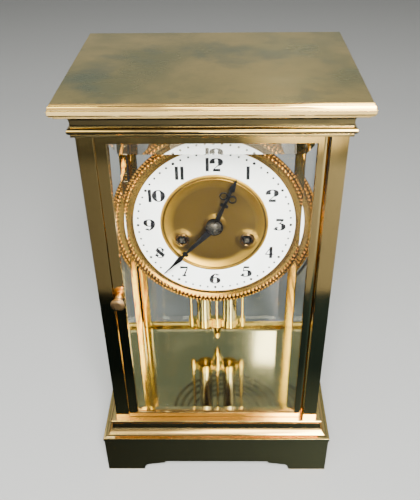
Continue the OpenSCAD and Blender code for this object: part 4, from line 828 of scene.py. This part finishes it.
def makePivots(v, rise):
    # each pivot turns with its own arbor, and the sinks stay with the plate
    arbors = {j["name"]: j for j in frame["joints"] if j["name"] in v}
    x = np.array([arbors[name]["pos_m"][0] for name in v]) / mm
    z = np.array([arbors[name]["pos_m"][2] for name in v]) / mm
    pivot, inner, outer = np.array(list(v.values())).T
    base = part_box("back_plate")[1][1] / mm
    for k, name in enumerate(v):
        one = slice(k, k + 1)
        place = (x[one], z[one], pivot[one], base)
        pts, faces = makeDomes(*place, rise["pivot"], rise["buried"], rise["around"])
        makePiece("pivotEnd_" + name, pts, faces, "brightSteel", arbors[name]["child"])
    # the oil sinks take the near-black tone painted as shade in the winding holes
    pts, faces = makeRings(x, z, inner, outer, base, rise["sink"], rise["buried"], rise["around"])
    makePiece("oilSinks", pts, faces, "holeShadeBronze", "case", smooth=False)


makePivots(pivotShape, pivotRise)
print("stage: pivots")

# Gong: one round rod wound in a flat spiral behind the movement, sizes in mm and degrees
gongShape = {"centre": (6.0, 35.0, 135.0), "inner": 22.5, "outer": 47.5, "turns": 4.5, "endAngle": 50.0,
             "rod": 1.2, "lead": 2.4, "around": 16, "perTurn": 96}


def makeGong(v):
    # P(s, a): a circle of the rod's radius carried along r = inner + (outer - inner) s, with a short straight
    # lead and a flat cap at each end
    cx, cy, cz = v["centre"]
    s = np.linspace(0, 1, int(v["turns"] * v["perTurn"]) + 1)
    angle = np.radians(v["endAngle"] - 360 * v["turns"] * (1 - s))
    r = v["inner"] + (v["outer"] - v["inner"]) * s
    path = np.stack([cx + r * np.cos(angle), cz + r * np.sin(angle)], -1)
    ends = angle[[0, -1]]
    along = np.stack([-np.sin(ends), np.cos(ends)], -1) * v["lead"]
    path = np.concatenate([[path[0] - along[0]], path, [path[-1] + along[1]]])
    d = np.gradient(path, axis=0)
    d /= np.linalg.norm(d, axis=1)[:, None]
    a = turnOf(v["around"])
    reach = v["rod"] * np.cos(a)[None, :]
    x = path[:, 0, None] - d[:, 1, None] * reach
    z = path[:, 1, None] + d[:, 0, None] * reach
    y = np.broadcast_to(cy + v["rod"] * np.sin(a)[None, :], x.shape)
    poles = [[px, cy, pz] for px, pz in path[[0, -1]]]
    pts = np.concatenate([np.stack([x, y, z], -1).reshape(-1, 3), poles]) * mm
    quads, fans = cappedFaces(len(path), v["around"])
    faces = quads.tolist() + fans.tolist()
    obj = makePiece("gongSpiral", pts, faces, "gongSteel", "case")
    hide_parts("gong_coil")


makeGong(gongShape)
print("stage: gong")

# Floor, a dark card that only polished metal sees, and two sets of soft lamps, for matt surfaces and metal. Sizes
# in m; the card's tones from the middle outwards are close, near, far and fringe, and it shows to rays with more
# glossy bounces than given. The card's brightening to the right and its pale patch are painted light, which the
# metal shows as painted reflections
studio = {"floor": (0.108, 0.110, 0.108), "floorRough": 0.9, "floorSize": 3.0, "cardHeight": 0.0003,
          "close": (0.0032, 0.0050, 0.0070), "near": (0.0006, 0.0013, 0.0022),
          "far": (0.0142, 0.0152, 0.0160), "fringe": (0.0040, 0.0047, 0.0047), "closeLimits": (0.08, 0.15),
          "darkSize": 0.26, "darkSoft": 0.004, "fringeSize": 0.555, "fringeSoft": 0.02, "cardSize": 0.72,
          "nearGrowth": 3600.0, "farGrowth": 36.0, "paintedPool": (0.13, 0.121, 0.090),
          "paintedPoolPlace": (0.115, -0.66, 0.0), "paintedPoolLimits": (0.10, 0.02), "skyFront": (0.10, 0.095, 0.08),
          "skyLow": (0.40, 0.40, 0.36), "skyHigh": (0.17, 0.21, 0.20), "skyHeights": (0.3, 0.65),
          "skySides": (-0.4, 0.4), "aim": (0, 0, 0.15), "bounces": 0.5}
lamps = {
    "softKey": {"lights": "matt", "place": (0.06, -0.95, 1.00), "size": (0.6, 0.6), "radiance": 250,
                "color": (1.0, 0.99, 0.97)},
    "softFill": {"lights": "matt", "place": (-0.70, -0.95, 0.60), "size": (0.8, 0.8), "radiance": 16,
                 "color": (0.98, 0.99, 1.0)},
    "softTop": {"lights": "matt", "place": (0.0, 0.3, 1.60), "size": (1.2, 1.2), "radiance": 1.5,
                "color": (1.0, 1.0, 1.0)},
    "frontFloor": {"lights": "metal", "place": (0.25, -1.10, 0.12), "size": (0.60, 0.24), "radiance": 13,
                   "color": (1.0, 0.90, 0.62)},
    "frontMiddle": {"lights": "metal", "place": (0.02, -0.95, 0.45), "size": (0.24, 0.34), "radiance": 6,
                    "color": (1.0, 0.90, 0.66)},
    "frontLow": {"lights": "metal", "place": (-0.40, -0.95, 0.50), "size": (0.95, 0.55), "radiance": 1.3,
                 "color": (1.0, 0.88, 0.66)},
    "frontDim": {"lights": "metal", "place": (-0.35, -0.80, 1.20), "size": (0.9, 0.5), "radiance": 0.6,
                 "color": (1.0, 0.90, 0.72)},
    "frontLeft": {"lights": "metal", "place": (-0.42, -0.94, 0.70), "size": (0.50, 0.16), "radiance": 3,
                  "color": (1.0, 0.88, 0.42)},
    "frontLeftHigh": {"lights": "metal", "place": (-0.46, -0.92, 0.95), "size": (0.38, 0.20), "radiance": 8,
                      "color": (1.0, 0.95, 0.45)},
    "frontStrip": {"lights": "metal", "place": (0.26, -0.94, 0.60), "size": (0.20, 0.85), "radiance": 28,
                   "color": (1.0, 0.93, 0.75)},
    "frontHigh": {"lights": "metal", "place": (0.55, -0.95, 1.15), "size": (0.9, 0.9), "radiance": 6.5,
                  "color": (1.0, 0.90, 0.62)},
    "rightSide": {"lights": "metal", "place": (1.10, -0.30, 0.55), "size": (0.8, 0.8), "radiance": 3,
                  "color": (1.0, 0.90, 0.70)},
    "leftSide": {"lights": "metal", "place": (-1.20, 0.10, 0.60), "size": (0.8, 0.8), "radiance": 1.5,
                 "color": (1.0, 0.90, 0.70)},
    "backHigh": {"lights": "metal", "place": (-0.2, 0.95, 1.65), "size": (1.1, 0.6), "radiance": 3,
                 "color": (1.0, 0.94, 0.80)},
    "backSlit": {"lights": "metal", "place": (0.118, 1.0, 0.88), "size": (0.062, 0.12), "radiance": 10.5,
                 "color": (1.0, 0.95, 0.80)},
}


def floorFinish(v):
    m, t, skin = newMaterial("studioFloor")
    skin.inputs["Base Color"].default_value = (*v["floor"], 1)
    skin.inputs["Roughness"].default_value = v["floorRough"]
    return m


def stagePlane(name, half, z, finish):
    # a level square about the middle
    mesh = bpy.data.meshes.new(name)
    corners = [(-half, -half, z), (half, -half, z), (half, half, z), (-half, half, z)]
    mesh.from_pydata(corners, [], [(0, 1, 2, 3)])
    mesh.materials.append(finish)
    plane = bpy.data.objects.new(name, mesh)
    bpy.context.scene.collection.objects.link(plane)
    return plane


def cardFinish(v):
    # squares round the case, dark within and dim at the rim, times growth to the power x so that they lighten to
    # the right as painted light, with one painted pool of light; clear until a ray has met metal
    m, t, skin = newMaterial("darkCard")
    skin.inputs["Roughness"].default_value = 1.0
    skin.inputs["Specular IOR Level"].default_value = 0.0
    where = addNode(t, "ShaderNodeTexCoord").outputs["Object"]
    place = addNode(t, "ShaderNodeSeparateXYZ")
    link(t, where, place.inputs[0])
    split = addNode(t, "ShaderNodeSeparateXYZ")
    link(t, maths(t, "VectorMath", "ABSOLUTE", where)[0], split.inputs[0])
    reach = maths(t, "Math", "MAXIMUM", split.outputs["X"], split.outputs["Y"])[0]

    def beyond(size, soft):
        return ramp(t, reach, size - soft, size + soft)

    # painted light: the tone grows to the right
    def grown(tone, growth):
        n = addNode(t, "ShaderNodeVectorMath", operation="SCALE")
        link(t, tone, n.inputs[0])
        link(t, maths(t, "Math", "POWER", growth, place.outputs["X"])[0], n.inputs["Scale"])
        return n.outputs[0]

    dark = mixTone(t, v["close"], v["near"], ramp(t, reach, *v["closeLimits"]))
    pale = mixTone(t, v["far"], v["fringe"], beyond(v["fringeSize"], v["fringeSoft"]))
    rim = beyond(v["darkSize"], v["darkSoft"])
    tone = mixTone(t, grown(dark, v["nearGrowth"]), grown(pale, v["farGrowth"]), rim)
    # a painted pool of light on the card
    away = maths(t, "VectorMath", "DISTANCE", where, v["paintedPoolPlace"])["Value"]
    patch = ramp(t, away, *v["paintedPoolLimits"], interpolation_type="SMOOTHSTEP")
    link(t, mixTone(t, tone, v["paintedPool"], patch), skin.inputs["Base Color"])
    path = addNode(t, "ShaderNodeLightPath")
    met = maths(t, "Math", "GREATER_THAN", path.outputs["Glossy Depth"], v["bounces"])[0]
    mixSurface(t, met, addNode(t, "ShaderNodeBsdfTransparent"), skin)
    return m


def makeSky(v):
    # dim towards the front; behind the clock it falls from a warm low band to a cool high one
    world = bpy.data.worlds.new("studioSky")
    bpy.context.scene.world = world
    world.use_nodes = True
    t = world.node_tree
    t.nodes.clear()
    out = addNode(t, "ShaderNodeOutputWorld")
    back = addNode(t, "ShaderNodeBackground")
    where = addNode(t, "ShaderNodeTexCoord")
    split = addNode(t, "ShaderNodeSeparateXYZ")
    link(t, where.outputs["Generated"], split.inputs[0])
    tone = mixTone(t, v["skyLow"], v["skyHigh"], ramp(t, split.outputs["Z"], *v["skyHeights"]))
    tone = mixTone(t, v["skyFront"], tone, ramp(t, split.outputs["Y"], *v["skySides"]))
    link(t, tone, back.inputs["Color"])
    link(t, back.outputs["Background"], out.inputs["Surface"])


def areaLamp(name, v, aim):
    # a rectangle turned to the aim; its power is pi times its area times its radiance
    data = bpy.data.lights.new(name, "AREA")
    data.shape = "RECTANGLE"
    data.size, data.size_y = v["size"]
    data.energy = math.pi * v["size"][0] * v["size"][1] * v["radiance"]
    data.color = v["color"]
    obj = bpy.data.objects.new(name, data)
    turn = (Vector(aim) - Vector(v["place"])).to_track_quat("-Z", "Y").to_matrix().to_4x4()
    obj.matrix_world = Matrix.Translation(v["place"]) @ turn
    obj.visible_camera = False
    obj.visible_diffuse = v["lights"] == "matt"
    obj.visible_glossy = v["lights"] == "metal"
    obj.visible_transmission = v["lights"] == "metal"
    bpy.context.scene.collection.objects.link(obj)


stagePlane("studioFloor", studio["floorSize"], 0.0, floorFinish(studio))
card = stagePlane("darkCard", studio["cardSize"], studio["cardHeight"], cardFinish(studio))
card.visible_shadow = False
makeSky(studio)
for lampName, lampValues in lamps.items():
    areaLamp(lampName, lampValues, studio["aim"])
print("stage: studio")
